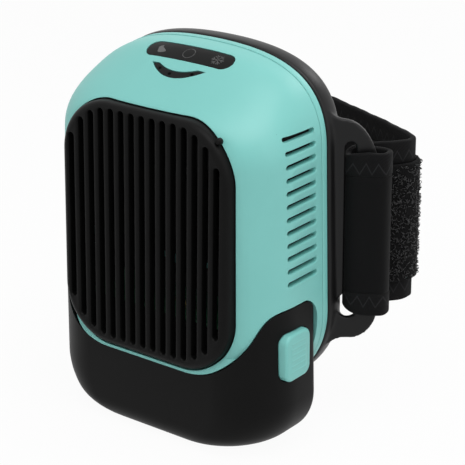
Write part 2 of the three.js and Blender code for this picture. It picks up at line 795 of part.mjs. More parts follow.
// Fan: square frame with a bore, struts behind and a bearing tube for the shaft
const fanRim = 1.7;
const fanBore = fanSize / 2 - fanRim;
const fanCorner = 3;
const hubRadius = 12.5;
const hubLip = 1;
const strutWide = 3;
const strutThick = 1.6;
const shaftRadius = 1.5;
const bearingWall = 1.6;
const bladeTipGap = 1.1;
const bladeTip = fanBore - bladeTipGap;
const bladeThick = 0.9;
const bladeChordShare = 0.62; // share of the gap between blades at the tip
const bladePitchRoot = THREE.MathUtils.degToRad(48);
const bladePitchTip = THREE.MathUtils.degToRad(28);

function fanFrame() {
  const half = fanSize / 2;
  const back = fanFront + fanDepth;
  const frame = cut(
    prismY(roundedRect(-half, half, fanHeight - half, fanHeight + half, fanCorner), fanFront, back, 2),
    rodY(fanBore, 0, fanHeight, fanFront - overrun, back + overrun, 40),
  );
  const strutFront = back - strutThick;
  const reach = (fanBore + half) / 2;
  const struts = [
    block(-reach, reach, strutFront, back, fanHeight - strutWide / 2, fanHeight + strutWide / 2),
    block(-strutWide / 2, strutWide / 2, strutFront, back, fanHeight - reach, fanHeight + reach),
    rodY(hubRadius, 0, fanHeight, strutFront, back, 24),
    rodY(shaftRadius + fit + bearingWall, 0, fanHeight, fanFront + fanDepth / 2, back, 16),
  ];
  const holes = fanPlaces.map(({ x, z }) => rodY(
    screwHole, x, z, fanFront - overrun, back + overrun, screwSides,
  ));
  return cut(
    joined(frame, ...struts),
    ...holes,
    rodY(shaftRadius + fit, 0, fanHeight, fanFront - overrun, back + overrun, 16),
  );
}

function fanBlade(turn) {
  const rings = [];
  const steps = 3;
  const middle = fanFront + fanDepth / 2 - strutThick / 2;
  for (let i = 0; i <= steps; i += 1) {
    const radius = hubRadius - hubLip + (bladeTip - hubRadius + hubLip) * (i / steps);
    const pitch = bladePitchRoot + (bladePitchTip - bladePitchRoot) * (i / steps);
    const chord = (2 * Math.PI * radius / bladeCount) * bladeChordShare;
    const reach = Math.min(chord / 2, (fanDepth / 2 - strutThick) / Math.sin(pitch) * 0.8);
    const ring = [];
    for (const [along, across] of [[-1, -1], [1, -1], [1, 1], [-1, 1]]) {
      const u = along * reach;
      const v = across * bladeThick / 2;
      ring.push(new THREE.Vector3(
        u * Math.cos(pitch) - v * Math.sin(pitch),
        middle + u * Math.sin(pitch) + v * Math.cos(pitch),
        radius,
      ));
    }
    rings.push(ring);
  }
  const blade = geometryOf(lofted(rings));
  return solidOf(blade.rotateY(turn).translate(0, 0, fanHeight));
}

function fanRotor() {
  const back = fanFront + fanDepth - strutThick - seamGap;
  const front = fanFront + seamGap;
  const cup = cut(
    rodY(hubRadius, 0, fanHeight, front, back, 28),
    rodY(hubRadius - bearingWall, 0, fanHeight, front + bearingWall, back + overrun, 28),
  );
  const boss = rodY(shaftRadius + bearingWall, 0, fanHeight, front, fanFront + fanDepth / 2 - seamGap, 16);
  const blades = [];
  for (let i = 0; i < bladeCount; i += 1) blades.push(fanBlade((i / bladeCount) * 2 * Math.PI));
  const core = rodY(hubRadius - bearingWall, 0, fanHeight, front + bearingWall, back + overrun, 28);
  return cut(
    joined(cup, boss, ...blades.map((blade) => cut(blade, core))),
    rodY(shaftRadius + fit, 0, fanHeight, front + bearingWall, back + overrun, 16),
  );
}

// Bay frame: closes the body above and behind the battery, and holds the contacts
const bayFlangeHeight = earHeight + 2 * seamGap;
const bayPlateFront = batteryBack + 2 * seamGap;
const bayPlateThick = 1.6;
const bayPlateBack = bayPlateFront + bayPlateThick;
const baySideFront = -8;
const flangeSetBack = 1.5;
const bayFlangeFront = shellFront + sideRound + flangeSetBack; // where the shell's side is flat
const pinCount = 4;
const pinPitch = 6;
const pinRadius = 1.1;
const pinTall = 5;
const catchSide = 5.1; // catch to the side of the battery
const catchInner = baseWidth / 2 - catchSide;
const catchThick = 1;
const catchWide = 5;
const catchY = 6.2;

function bayFrame() {
  const inside = shellWall + fit;
  const flangeTop = bayFlangeHeight + bayWall;
  const middle = block(-bayHalf, bayHalf, 0, shellBack, 0, bayCeiling + bayWall);
  const flank = block(bayHalf - bayWall / 2, baseWidth, 0, shellBack, 0, flangeTop);
  const plate = prismY(bodyShape(inside + lipWall + fit), bayPlateFront, bayPlateBack)
    .intersect(joined(middle, flank, mirrored(flank)));
  const ceiling = joined(
    block(-riserHalf, riserHalf, riserFront, bayPlateBack, bayCeiling, bayCeiling + bayWall),
    block(-bayHalf, bayHalf, baySideFront, bayPlateBack, bayCeiling, bayCeiling + bayWall),
  );
  const side = block(bayHalf - bayWall, bayHalf, baySideFront, bayPlateBack, bayCeiling, flangeTop);
  const outer = halfWidthAt(flangeTop) - inside;
  const flange = block(bayHalf - bayWall / 2, outer, bayFlangeFront, batteryBack, bayFlangeHeight, flangeTop);
  const blade = block(
    catchInner, catchInner + catchThick, catchY - catchWide / 2, catchY + catchWide / 2,
    buttonTop + seamGap, bayFlangeHeight + bayWall / 2,
  );
  const holes = backPosts.filter((post) => !post.upper)
    .map((post) => rodY(postRadius + fit, post.x, post.z, 0, bayPlateBack + overrun));
  const pins = [];
  for (let i = 0; i < pinCount; i += 1) {
    const x = (i - (pinCount - 1) / 2) * pinPitch;
    pins.push(rodZ(pinRadius + fit, x, 0, bayCeiling - overrun, bayCeiling + bayWall + overrun));
  }
  const walls = cut(
    joined(plate, ceiling, side, mirrored(side), flange, mirrored(flange)),
    batterySpace(seamGap),
  );
  return cut(joined(walls, blade), ...holes, ...pins);
}

// Battery housing: a tub with two ears that climb the sides
function batteryRing(inset, z) {
  const footRise = (radius) => (z < radius ? radius - Math.sqrt(radius ** 2 - (radius - z) ** 2) : 0);
  const half = halfWidthAt(z) - inset - footRise(batterySideFoot);
  const front = batteryFront + inset + footRise(batteryFrontFoot);
  const back = batteryBack - inset - footRise(batteryBackFoot);
  const backRound = Math.max(batteryBackRound - inset, batteryBackRound / 3);
  const frontRound = Math.min(batteryCornerRound - inset, back - backRound - front);
  const right = [
    new THREE.Vector2(0, front),
    ...arcPoints(half - frontRound, front + frontRound, frontRound, -Math.PI / 2, 7),
    ...arcPoints(half - backRound, back - backRound, backRound, 0, 3),
    new THREE.Vector2(0, back),
  ];
  const left = right.slice(1, -1).reverse().map((p) => new THREE.Vector2(-p.x, p.y));
  return [...right, ...left].map((p) => new THREE.Vector3(p.x, p.y, z));
}

function batteryForm(inset, z0, z1) {
  const footSteps = 7;
  const rings = [];
  for (let i = 0; i <= footSteps; i += 1) {
    const share = 1 - Math.cos((i / footSteps) * (Math.PI / 2));
    const z = batterySideFoot * share;
    if (z > z0) rings.push(batteryRing(inset, z));
  }
  rings.unshift(batteryRing(inset, z0));
  rings.push(batteryRing(inset, z1));
  return lofted(rings);
}

// Release button in the right ear, with its latch arm and spring
const buttonTall = 17.6;
const buttonLong = 14;
const buttonBelowEar = 17.4; // button's centre below the top of the ear
const buttonHeight = earHeight - buttonBelowEar;
const buttonY = 2;
const buttonRound = 3.6;
const buttonProud = 1.7;
const buttonBevel = 0.9;
const buttonFlange = 1.2;
const flangeGrow = 1.3;
const buttonFace = halfWidthAt(buttonHeight);
const springRadius = 2.8;
const springWire = 0.7;
const springTurns = 5;
const springSeatInset = 1.6;
const springDrop = 4.5; // spring below the button's centre
const springSeat = bayHalf - springSeatInset;
const springHeight = buttonHeight - springDrop;
const ribThick = 1.4;
const ribHalf = 5;
const springY = 3.5;
const armThick = 1.6;
const armGap = 1.2; // top of the latch arm under the ear's roof
const armTop = earHeight - batteryWall - armGap;

function buttonShape(grow) {
  const [long, tall] = [buttonLong / 2 + grow, buttonTall / 2 + grow];
  return roundedRect(
    buttonY - long, buttonY + long,
    buttonHeight - tall, buttonHeight + tall,
    buttonRound + grow,
  );
}

const buttonTop = buttonHeight + buttonTall / 2 + flangeGrow;
const coverHeight = buttonHeight - buttonTall / 2 - flangeGrow - fit;
const flangeOuter = buttonFace - batteryWall - fit;
const flangeInner = flangeOuter - buttonFlange;

function releaseButton() {
  const bevel = {
    bevelEnabled: true,
    bevelThickness: buttonBevel,
    bevelSize: buttonBevel,
    bevelOffset: -buttonBevel,
    bevelSegments: 2,
  };
  const armOuter = catchInner - fit;
  const armInner = armOuter - armThick;
  const length = buttonFace + buttonProud - armInner - buttonBevel;
  const cap = solidOf(
    extruded(buttonShape(0), length, 2, bevel).applyMatrix4(alongX).translate(armInner, 0, 0),
  )
    .intersect(block(armInner, baseWidth, batteryFront, batteryBack, 0, bodyHeight));
  const flange = prismX(buttonShape(flangeGrow), flangeInner, flangeOuter, 2)
    .intersect(batteryForm(batteryWall + fit, batteryWall, earHeight));
  const armHalf = catchWide / 3;
  const arm = block(armInner, armOuter, catchY - armHalf, catchY + armHalf, buttonHeight, armTop);
  const well = rodX(springRadius + springWire, springY, springHeight, armInner - overrun, flangeInner);
  const peg = rodX(springRadius - springWire - fit, springY, springHeight, armInner, flangeOuter);
  return joined(cut(joined(cap, flange, arm), well), peg);
}

class Helix extends THREE.Curve {
  constructor(radius, length, turns) {
    super();
    Object.assign(this, { radius, length, turns });
  }

  getPoint(t) {
    const angle = t * this.turns * 2 * Math.PI;
    return new THREE.Vector3(t * this.length, this.radius * Math.cos(angle), this.radius * Math.sin(angle));
  }
}

function buttonSpring() {
  const start = springSeat + fit + springWire / 2;
  const end = flangeInner - fit - springWire / 2;
  const section = new THREE.Shape();
  section.absarc(0, 0, springWire / 2, 0, 2 * Math.PI);
  const coil = new THREE.ExtrudeGeometry(section, {
    steps: springTurns * 8,
    curveSegments: 2,
    bevelEnabled: false,
    extrudePath: new Helix(springRadius, end - start, springTurns),
  });
  return solidOf(coil.translate(start, springY, springHeight));
}

// Charging socket in the battery's back wall
const socketWide = 9;
const socketTall = 3.3;
const socketHeight = 9;
const socketWall = 0.4;
const boardSetBack = 4.3;
const boardFace = riserBack - boardSetBack; // front of the protection board
const socketFront = boardFace + boardThick + fit;
const socketBack = batteryBack - fit;

function batteryHousing() {
  const outer = batteryForm(0, 0, earHeight + overrun).intersect(batterySpace(0));
  const inner = batteryForm(batteryWall, batteryWall, earHeight - batteryWall);
  const rib = block(
    springSeat - ribThick, springSeat, springY - ribHalf, springY + ribHalf,
    batteryWall / 2, springHeight + springRadius + fit,
  );
  const bosses = coverScrews.map(({ x, y }) =>
    rodZ(postRadius, x, y, batteryWall / 2, coverHeight - coverThick - fit));
  const mouth = block(
    -bayHalf - 2 * seamGap, bayHalf + 2 * seamGap, -baseWidth, batteryBack - batteryWall,
    coverHeight, earHeight + overrun,
  ).intersect(batteryForm(batteryWall, batteryWall, earHeight + overrun));
  const topSlot = block(
    catchInner - seamGap, catchInner + catchThick + seamGap,
    catchY - catchWide / 2 - seamGap, catchY + catchWide / 2 + seamGap,
    earHeight - 2 * batteryWall, earHeight + overrun,
  );
  const window = prismX(buttonShape(seamGap), bayHalf, baseWidth, 2);
  const holes = coverScrews.map(({ x, y }) => rodZ(
    screwHole, x, y, coverHeight - screwLength, coverHeight, screwSides,
  ));
  const socket = block(
    -socketWide / 2 - fit, socketWide / 2 + fit, batteryBack - 2 * batteryWall, batteryBack + overrun,
    socketHeight - socketTall / 2 - fit, socketHeight + socketTall / 2 + fit,
  );
  const form = batteryForm(0, 0, earHeight + overrun);
  return cut(
    joined(cut(outer, inner, mouth), rib, ...bosses).intersect(form),
    window, topSlot, socket, ...holes,
  );
}

// Battery cover: closes the tub and rises into the bay with the contact pads on top
const coverThick = 2;
const riserRound = 3;
// The cover's screws sit in the round front corners
const coverScrewReach = batteryCornerRound - batteryWall - screwHead - 3 * seamGap;
const coverScrewX = baseWidth / 2 - batteryCornerRound + coverScrewReach * Math.SQRT1_2;
const coverScrewY = batteryFront + batteryCornerRound - coverScrewReach * Math.SQRT1_2;
const coverScrews = [coverScrewX, -coverScrewX].map((x) => ({ x, y: coverScrewY }));
const padWide = 4;
const padLong = 7;
const padThick = 0.6;

function batteryCover() {
  const inset = batteryWall + fit;
  const flange = batteryForm(inset, coverHeight - coverThick, coverHeight);
  const riser = prismZ(
    roundedRect(-riserHalf, riserHalf, riserFront, riserBack, riserRound),
    coverHeight - coverThick, coverTop, 2,
  );
  const hollow = prismZ(
    roundedRect(
      riserWall - riserHalf, riserHalf - riserWall,
      riserFront + riserWall, riserBack - riserWall,
      riserRound - riserWall,
    ),
    0, coverTop - riserWall, 2,
  );
  const ribSpace = block(
    springSeat - ribThick - fit, springSeat + fit, springY - ribHalf - fit, springY + ribHalf + fit,
    0, earHeight,
  );
  const pads = [];
  for (let i = 0; i < pinCount; i += 1) {
    const x = (i - (pinCount - 1) / 2) * pinPitch;
    pads.push(block(
      x - padWide / 2 - fit, x + padWide / 2 + fit, -padLong / 2 - fit, padLong / 2 + fit,
      coverTop - padThick - fit, coverTop + overrun,
    ));
  }
  const holes = coverScrews.map(({ x, y }) => rodZ(screwHole, x, y, 0, coverHeight + overrun, screwSides));
  return cut(
    joined(cut(flange, ribSpace), riser),
    hollow, ...pads, ...holes,
  );
}

// Cells: one low at the front, one above it towards the back
const cellNub = { radius: 3, tall: 0.8 };

function cell(place) {
  const half = cellLength / 2;
  return joined(
    rodX(cellRadius, place.y, place.z, -half, half - cellNub.tall, 24),
    rodX(cellNub.radius, place.y, place.z, half - 2 * cellNub.tall, half, 12),
  );
}

const cheekX = 21;
const cheekThick = 2;
const cradleStrip = 1.6;

function cellCradle() {
  const bottom = batteryWall + fit;
  const [front, back] = [(lowCell.y + highCell.y) / 2, riserBack - riserWall - fit];
  const cheek = block(cheekX, cheekX + cheekThick, front, back, bottom, highCell.z);
  const strip = block(-cheekX - fit, cheekX + fit, front, back, bottom, bottom + cradleStrip);
  const space = [lowCell, highCell]
    .map((place) => rodX(cellRadius + fit, place.y, place.z, -cellLength, cellLength, 24));
  return cut(joined(cheek, mirrored(cheek), strip), ...space);
}

function protectionBoard() {
  const bottom = batteryWall + fit + cradleStrip + fit;
  const half = cheekX - fit;
  return block(
    -half, half,
    boardFace, boardFace + boardThick,
    bottom, socketHeight + cellRadius - socketTall,
  );
}

function chargeSocket() {
  const [half, tall] = [socketWide / 2, socketTall / 2];
  const shape = (grow) => roundedRect(
    -half - grow, half + grow,
    socketHeight - tall - grow, socketHeight + tall + grow,
    tall + grow,
  );
  return cut(
    prismY(shape(-fit / 3), socketFront, socketBack, 2),
    prismY(shape(-socketWall - fit / 3), socketFront + overrun, batteryBack + overrun, 2),
  );
}

// Boards inside the body
const mainBoardMargin = 2;
const mainBoardHalf = riserHalf - mainBoardMargin;
const mainBoardSetBack = 1.4; // behind the riser's front
const mainBoardBehind = 3; // before the battery's back
const mainBoardFront = riserFront + mainBoardSetBack;
const mainBoardBack = batteryBack - mainBoardBehind;
const chipTall = 2;
const chipHalf = 5;
const capacitorRadius = 4;
const capacitorX = 24;

function mainBoard() {
  const top = mainBoardHeight + boardThick;
  const base = block(-mainBoardHalf, mainBoardHalf, mainBoardFront, mainBoardBack, mainBoardHeight, top);
  const middle = (mainBoardFront + mainBoardBack) / 2;
  const chip = block(
    -chipHalf, chipHalf, middle + chipTall, middle + chipTall + chipHalf,
    top - boardThick / 2, top + chipTall,
  );
  const capacitors = [-capacitorX, capacitorX]
    .map((x) => rodZ(capacitorRadius, x, middle, top - boardThick / 2, top + capacitorTall, 16));
  const holes = [];
  for (let i = 0; i < pinCount; i += 1) {
    const x = (i - (pinCount - 1) / 2) * pinPitch;
    holes.push(rodZ(pinRadius + fit, x, 0, mainBoardHeight - overrun, top + overrun));
  }
  return cut(joined(base, chip, ...capacitors), ...holes);
}

function controlBoard() {
  const half = boardLong / 2;
  const board = roundedRect(-half, half, -boardWide / 2, boardWide / 2, boardThick);
  const plate = slopePrism(board, -boardBelow - boardThick, -boardBelow, 3);
  const driver = roundedRect(-chipHalf, chipHalf, -chipHalf / 2, chipHalf / 2, chipTall / 4);
  return joined(
    plate,
    slopePrism(driver, -boardBelow - boardThick - chipTall, -boardBelow - boardThick / 2, 2),
  );
}

// Strap: one band of constant width whose route is drawn from above.
// Places beside the wing are given along it and square to it.
function beside(along, ahead) {
  const [c, s] = [Math.cos(wingSweep), Math.sin(wingSweep)];
  return new THREE.Vector2(wingRoot.x + along * c + ahead * s, wingRoot.y + along * s - ahead * c);
}

const strapLift = wingThick / 2 + fit + strapThick / 2; // strap's middle off the wing's middle
const strapReachBack = 51.5; // wing root to the far side of the loop
const nearTurnStep = { x: 9.7, y: 18.5 }; // from the wing root
const turnStep = { x: 13.1, y: 25 };
const shoulderStep = { x: 8.5, y: 30.5 };
const strapFarMiddle = wingRoot.y + strapReachBack;
const barBulge = 2.6; // how far the loop stands off the end of the bar

function strapRoute() {
  const inSlot = slotInner + fit + strapThick / 2;
  const shoulder = new THREE.Vector2(wingRoot.x + shoulderStep.x, wingRoot.y + shoulderStep.y);
  const right = [
    beside(barStart + strapLift, -strapLift - strapThick),
    beside(wingReach - strapThick, -strapLift - strapThick / 2),
    beside(wingReach + barBulge, -strapThick / 2),
    beside(wingReach + strapThick / 2, strapLift + strapThick / 2),
    beside((barStart + wingReach) / 2, strapLift + strapThick / 2),
    beside(barStart - strapThick / 2, strapLift),
    beside(inSlot, 0),
    beside(inSlot + strapThick / 2, -strapLift - strapThick / 2),
    beside(barStart + strapLift + strapThick, -strapLift - 3.4 * strapThick),
    new THREE.Vector2(wingRoot.x + nearTurnStep.x, wingRoot.y + nearTurnStep.y),
    new THREE.Vector2(wingRoot.x + turnStep.x, wingRoot.y + turnStep.y),
    new THREE.Vector2(shoulder.x, shoulder.y),
    new THREE.Vector2(shoulder.x / 2, (shoulder.y + strapFarMiddle) / 2 + strapThick),
  ];
  const left = right.map((p) => new THREE.Vector2(-p.x, p.y)).reverse();
  return [...right, new THREE.Vector2(0, strapFarMiddle), ...left];
}

function band(points, offset, thick, bottom, top) {
  const edge = (distance) => points.map((p, i) => {
    const ahead = points[Math.min(i + 1, points.length - 1)];
    const behind = points[Math.max(i - 1, 0)];
    const run = ahead.clone().sub(behind).normalize();
    return new THREE.Vector2(p.x - run.y * distance, p.y + run.x * distance);
  });
  const outline = [...edge(offset - thick / 2), ...edge(offset + thick / 2).reverse()];
  return prismZ(new THREE.Shape(outline), bottom, top);
}

const strapSteps = 110;
const strapLine = new THREE.SplineCurve(strapRoute()).getSpacedPoints(strapSteps);
const patchMargin = 8; // plain band above and below the patch
const patchThick = 1.6;
const patchSpanShares = [0.2, 0.44]; // shares of the strap's length

function strap() {
  return band(strapLine, 0, strapThick, strapBottom, strapTop);
}

function loopPatch() {
  const [from, to] = patchSpanShares.map((share) => Math.round(share * strapSteps));
  const offset = -(strapThick / 2 + fit + patchThick / 2);
  return band(
    strapLine.slice(from, to + 1), offset, patchThick,
    strapBottom + patchMargin, strapTop - patchMargin,
  );
}

// Assembly
addPiece('front_shell', frontShell(), teal);
addPiece('rear_shell', rearShell(), teal);
const grille = addPiece('front_grille', frontGrille(), blackPlastic);
grille.position.copy(leanPivot);
grille.geometry.translate(0, -leanPivot.y, -leanPivot.z);
grille.rotation.x = -grilleLean;
addPiece('control_panel', domePiece(panelShape(0), panelSunk, panelSunk + panelThick), glossDark);
addPiece('indicator_window', domePiece(smileShape(0), panelSunk, panelSunk + panelThick), glossDark);
addPiece('control_board', controlBoard(), boardGreen);
addPiece('main_board', mainBoard(), boardGreen);
addPiece('bay_frame', bayFrame(), blackPlastic);
addPiece('heat_sink', heatSink(), aluminium);
addPiece('fan_frame', fanFrame(), blackPlastic);
addPiece('fan_rotor', fanRotor(), blackPlastic);
const shaftFront = fanFront + seamGap + bearingWall + fit;
addPiece('fan_shaft', rodY(shaftRadius, 0, fanHeight, shaftFront, fanFront + fanDepth, 16), steel);
fanPlaces.forEach(({ x, z }, i) => {
  addPiece(`fan_screw_${i + 1}`, screw(fanScrewLength), steel)
    .position.set(x, fanFront - screwHeadTall - fit, z);
});

const moduleHalf = moduleSize / 2;
addPiece('thermal_module', block(
  -moduleHalf, moduleHalf, moduleFront, moduleBack,
  moduleHeight - moduleHalf, moduleHeight + moduleHalf,
), ceramic);
addPiece('therapy_plate', therapyPlate(), aluminium);
addPiece('insulation_pad', insulationPad(), foam);
addPiece('wing_frame', wingFrame(), rubber);
addPiece('strap', strap(), webbing);
addPiece('loop_patch', loopPatch(), pile);
backPosts.forEach(({ x, z, upper }, i) => {
  const piece = addPiece(`rear_screw_${i + 1}`, screw(upper ? screwLength : shortScrew), steel);
  piece.rotation.x = Math.PI;
  piece.position.set(x, shellBack - fit, z);
});

for (let i = 0; i < pinCount; i += 1) {
  const x = (i - (pinCount - 1) / 2) * pinPitch;
  const pinBottom = coverTop + fit;
  addPiece(`contact_pin_${i + 1}`, rodZ(pinRadius, x, 0, pinBottom, pinBottom + pinTall, 12), brass);
  addPiece(`contact_pad_${i + 1}`, block(
    x - padWide / 2, x + padWide / 2, -padLong / 2, padLong / 2,
    coverTop - padThick, coverTop,
  ), brass);
}

addPiece('battery_housing', batteryHousing(), blackPlastic);
addPiece('battery_cover', batteryCover(), blackPlastic);
addPiece('cell_lower', cell(lowCell), cellWrap);
addPiece('cell_upper', cell(highCell), cellWrap);
addPiece('cell_cradle', cellCradle(), blackPlastic);
addPiece('protection_board', protectionBoard(), boardGreen);
addPiece('charge_socket', chargeSocket(), steel);
coverScrews.forEach(({ x, y }, i) => {
  const piece = addPiece(`cover_screw_${i + 1}`, screw(screwLength), steel);
  piece.rotation.x = -Math.PI / 2;
  piece.position.set(x, y, coverHeight + screwHeadTall + fit);
});

addPiece('release_button', releaseButton(), teal);
addPiece('button_spring', buttonSpring(), steel);

export default machine;
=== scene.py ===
"""Wearable hot and cold therapy machine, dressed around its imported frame. Lengths are in metres."""

import json
import math

import bmesh
import bpy
import numpy as np
from mathutils import Matrix, Vector
from mathutils.bvhtree import BVHTree

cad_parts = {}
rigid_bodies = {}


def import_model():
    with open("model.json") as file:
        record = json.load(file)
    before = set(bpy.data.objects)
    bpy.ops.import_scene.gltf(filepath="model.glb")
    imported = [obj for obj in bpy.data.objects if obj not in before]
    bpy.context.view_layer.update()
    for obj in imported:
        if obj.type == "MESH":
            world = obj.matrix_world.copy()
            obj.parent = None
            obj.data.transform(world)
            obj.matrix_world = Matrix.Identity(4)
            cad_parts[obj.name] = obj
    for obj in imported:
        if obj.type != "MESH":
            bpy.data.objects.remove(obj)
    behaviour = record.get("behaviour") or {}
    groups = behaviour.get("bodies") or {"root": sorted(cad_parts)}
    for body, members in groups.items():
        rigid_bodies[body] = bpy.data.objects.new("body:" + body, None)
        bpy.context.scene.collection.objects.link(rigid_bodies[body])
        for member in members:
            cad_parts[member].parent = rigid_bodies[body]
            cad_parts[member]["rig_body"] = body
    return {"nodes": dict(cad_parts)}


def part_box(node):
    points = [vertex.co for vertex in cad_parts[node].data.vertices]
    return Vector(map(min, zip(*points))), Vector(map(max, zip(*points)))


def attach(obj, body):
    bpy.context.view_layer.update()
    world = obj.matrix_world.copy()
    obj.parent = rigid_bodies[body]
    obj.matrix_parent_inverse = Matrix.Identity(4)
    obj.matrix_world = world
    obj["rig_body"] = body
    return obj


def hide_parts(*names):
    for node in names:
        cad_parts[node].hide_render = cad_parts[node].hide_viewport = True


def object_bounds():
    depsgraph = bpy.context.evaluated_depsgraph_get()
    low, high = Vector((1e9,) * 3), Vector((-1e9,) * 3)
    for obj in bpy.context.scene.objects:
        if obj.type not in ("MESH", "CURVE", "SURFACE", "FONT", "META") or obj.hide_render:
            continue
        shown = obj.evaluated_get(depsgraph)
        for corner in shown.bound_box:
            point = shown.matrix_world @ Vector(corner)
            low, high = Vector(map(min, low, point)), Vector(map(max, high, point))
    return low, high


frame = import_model()
cad_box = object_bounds()

# Camera
# A long lens looks down on the grille from the side that carries the release button.
# Its place was worked out from the slots, the arch and the side edge.
view_azimuth = math.radians(38.04)
view_elevation = math.radians(21.40)
view_roll = math.radians(-0.46)
view_target = Vector((0.01787, 0.008, 0.0736))
view_distance = 0.61347
lens_pixels = 1758.16
photo_pixels = 465
sensor_width = 36.0
near_clip = 0.01

back = Vector((
    math.sin(view_azimuth) * math.cos(view_elevation),
    -math.cos(view_azimuth) * math.cos(view_elevation),
    math.sin(view_elevation),
))
right = Vector((math.cos(view_azimuth), math.sin(view_azimuth), 0))
up = back.cross(right)
rolled_right = right * math.cos(view_roll) + up * math.sin(view_roll)
rolled_up = up * math.cos(view_roll) - right * math.sin(view_roll)
camera = bpy.data.objects.new("camera", bpy.data.cameras.new("camera"))
bpy.context.scene.collection.objects.link(camera)
turn = Matrix((rolled_right, rolled_up, back)).transposed()
camera.matrix_world = Matrix.Translation(view_target + back * view_distance) @ turn.to_4x4()
camera.data.sensor_width = sensor_width
camera.data.lens = sensor_width * lens_pixels / photo_pixels
camera.data.clip_start = near_clip
bpy.context.scene.camera = camera
bpy.context.scene.view_settings.view_transform = "Standard"


# Studio
# A white floor and surround, with one large soft box above and weaker ones in front, beside and behind.
# The floor shows as white to the eye, and keeps a faint shadow of the machine.
def nodes_of(owner):
    owner.use_nodes = True
    owner.node_tree.nodes.clear()
    return owner.node_tree


def place(tree, kind, **sockets):
    node = tree.nodes.new(kind)
    for key, value in sockets.items():
        name = key.replace("_", " ")
        if hasattr(node, key):
            setattr(node, key, value)
            continue
        socket = node.inputs[int(key[1:])] if key[0] == "i" and key[1:].isdigit() else node.inputs[name]
        if isinstance(value, bpy.types.NodeSocket):
            tree.links.new(value, socket)
        else:
            socket.default_value = value
    return node


def seen_rays(tree):
    path = place(tree, "ShaderNodeLightPath")
    seen = path.outputs["Is Camera Ray"]
    for ray in ("Is Glossy Ray", "Is Transmission Ray"):
        seen = place(tree, "ShaderNodeMath", operation="MAXIMUM", i0=seen, i1=path.outputs[ray]).outputs[0]
    return seen


world_level = 0.40
floor_white = (0.80, 0.80, 0.80, 1)
shadow_share = 0.05
floor_reach = 3.0
floor_turns = ((-1, -1), (1, -1), (1, 1), (-1, 1))
aim_at = (0, 0, 0.07)
lamps = (
    ("lamp_rear", 0.8, 0.22, (0.10, 0.60, 0.50)),
    ("lamp_top", 5.5, 0.7, (0.30, -0.20, 0.95)),
    ("lamp_front", 0.9, 0.8, (-0.45, -0.9, 0.55)),
    ("lamp_side", 1.3, 0.6, (0.95, -0.1, 0.45)),
)

world = bpy.data.worlds.new("studio")
bpy.context.scene.world = world
tree = nodes_of(world)
dim = place(tree, "ShaderNodeBackground", Color=(1, 1, 1, 1), Strength=world_level)
white = place(tree, "ShaderNodeBackground", Color=(1, 1, 1, 1), Strength=1.0)
mixed = place(tree, "ShaderNodeMixShader", i0=seen_rays(tree), i1=dim.outputs[0], i2=white.outputs[0])
place(tree, "ShaderNodeOutputWorld", Surface=mixed.outputs[0])

floor_paint = bpy.data.materials.new("studio_floor")
tree = nodes_of(floor_paint)
matt = place(tree, "ShaderNodeBsdfDiffuse", Color=floor_white)
glow = place(tree, "ShaderNodeEmission", Color=(1, 1, 1, 1), Strength=1.0)
eye = place(tree, "ShaderNodeMath", operation="MULTIPLY", i0=seen_rays(tree), i1=1 - shadow_share)
both = place(tree, "ShaderNodeMixShader", i0=eye.outputs[0], i1=matt.outputs[0], i2=glow.outputs[0])
place(tree, "ShaderNodeOutputMaterial", Surface=both.outputs[0])

sheet = bpy.data.meshes.new("floor")
corners = [(x * floor_reach, y * floor_reach, cad_box[0][2]) for x, y in floor_turns]
sheet.from_pydata(corners, [], [(0, 1, 2, 3)])
sheet.materials.append(floor_paint)
floor = bpy.data.objects.new("floor", sheet)
bpy.context.scene.collection.objects.link(floor)

for name, watts, size, stand in lamps:
    lamp = bpy.data.lights.new(name, "AREA")
    lamp.energy = watts
    lamp.size = size
    holder = bpy.data.objects.new(name, lamp)
    bpy.context.scene.collection.objects.link(holder)
    holder.location = stand
    holder.rotation_euler = (Vector(aim_at) - Vector(stand)).to_track_quat("-Z", "Y").to_euler()


# Front shell
# One moulding of satin teal plastic with a sloping dome, round front edges and vents each side.
# It carries the grille in its front opening and closes on the rear shell with a fine seam.
weld_reach = 1e-7


def new_object(name, mesh):
    piece = bpy.data.objects.new(name, mesh)
    bpy.context.scene.collection.objects.link(piece)
    return piece


def skin(name, rings):
    """A closed body over a stack of rings that hold the same number of points."""
    count = len(rings[0])
    points = [tuple(p) for ring in rings for p in ring]
    faces = [tuple(range(count))[::-1], tuple(range((len(rings) - 1) * count, len(rings) * count))]
    for i in range(len(rings) - 1):
        for j in range(count):
            a, b = i * count + j, i * count + (j + 1) % count
            faces.append((a, b, b + count, a + count))
    mesh = bpy.data.meshes.new(name)
    mesh.from_pydata(points, [], faces)
    work = bmesh.new()
    work.from_mesh(mesh)
    bmesh.ops.remove_doubles(work, verts=work.verts, dist=weld_reach)
    bmesh.ops.recalc_face_normals(work, faces=work.faces)
    work.to_mesh(mesh)
    work.free()
    return new_object(name, mesh)


def carved(piece, operation, tools):
    """Cuts, joins or keeps what is common, one tool at a time, and takes the tools away."""
    for tool in tools:
        step = piece.modifiers.new("step", "BOOLEAN")
        step.operation = operation
        step.object = tool
        step.solver = "EXACT"
        applied(piece)
        bpy.data.objects.remove(tool)
    return piece


def applied(piece):
    view = bpy.context.evaluated_depsgraph_get()
    made = bpy.data.meshes.new_from_object(piece.evaluated_get(view))
    piece.modifiers.clear()
    piece.data = made
    return piece


def smoothed(piece, angle=math.radians(32)):
    piece.data.shade_smooth()
    piece.data.set_sharp_from_angle(angle=angle)
    return piece


def arc(x, y, radius, start, steps):
    angles = start + np.linspace(0, math.pi / 2, steps + 1)
    return np.stack([x + radius * np.cos(angles), y + radius * np.sin(angles)], 1)


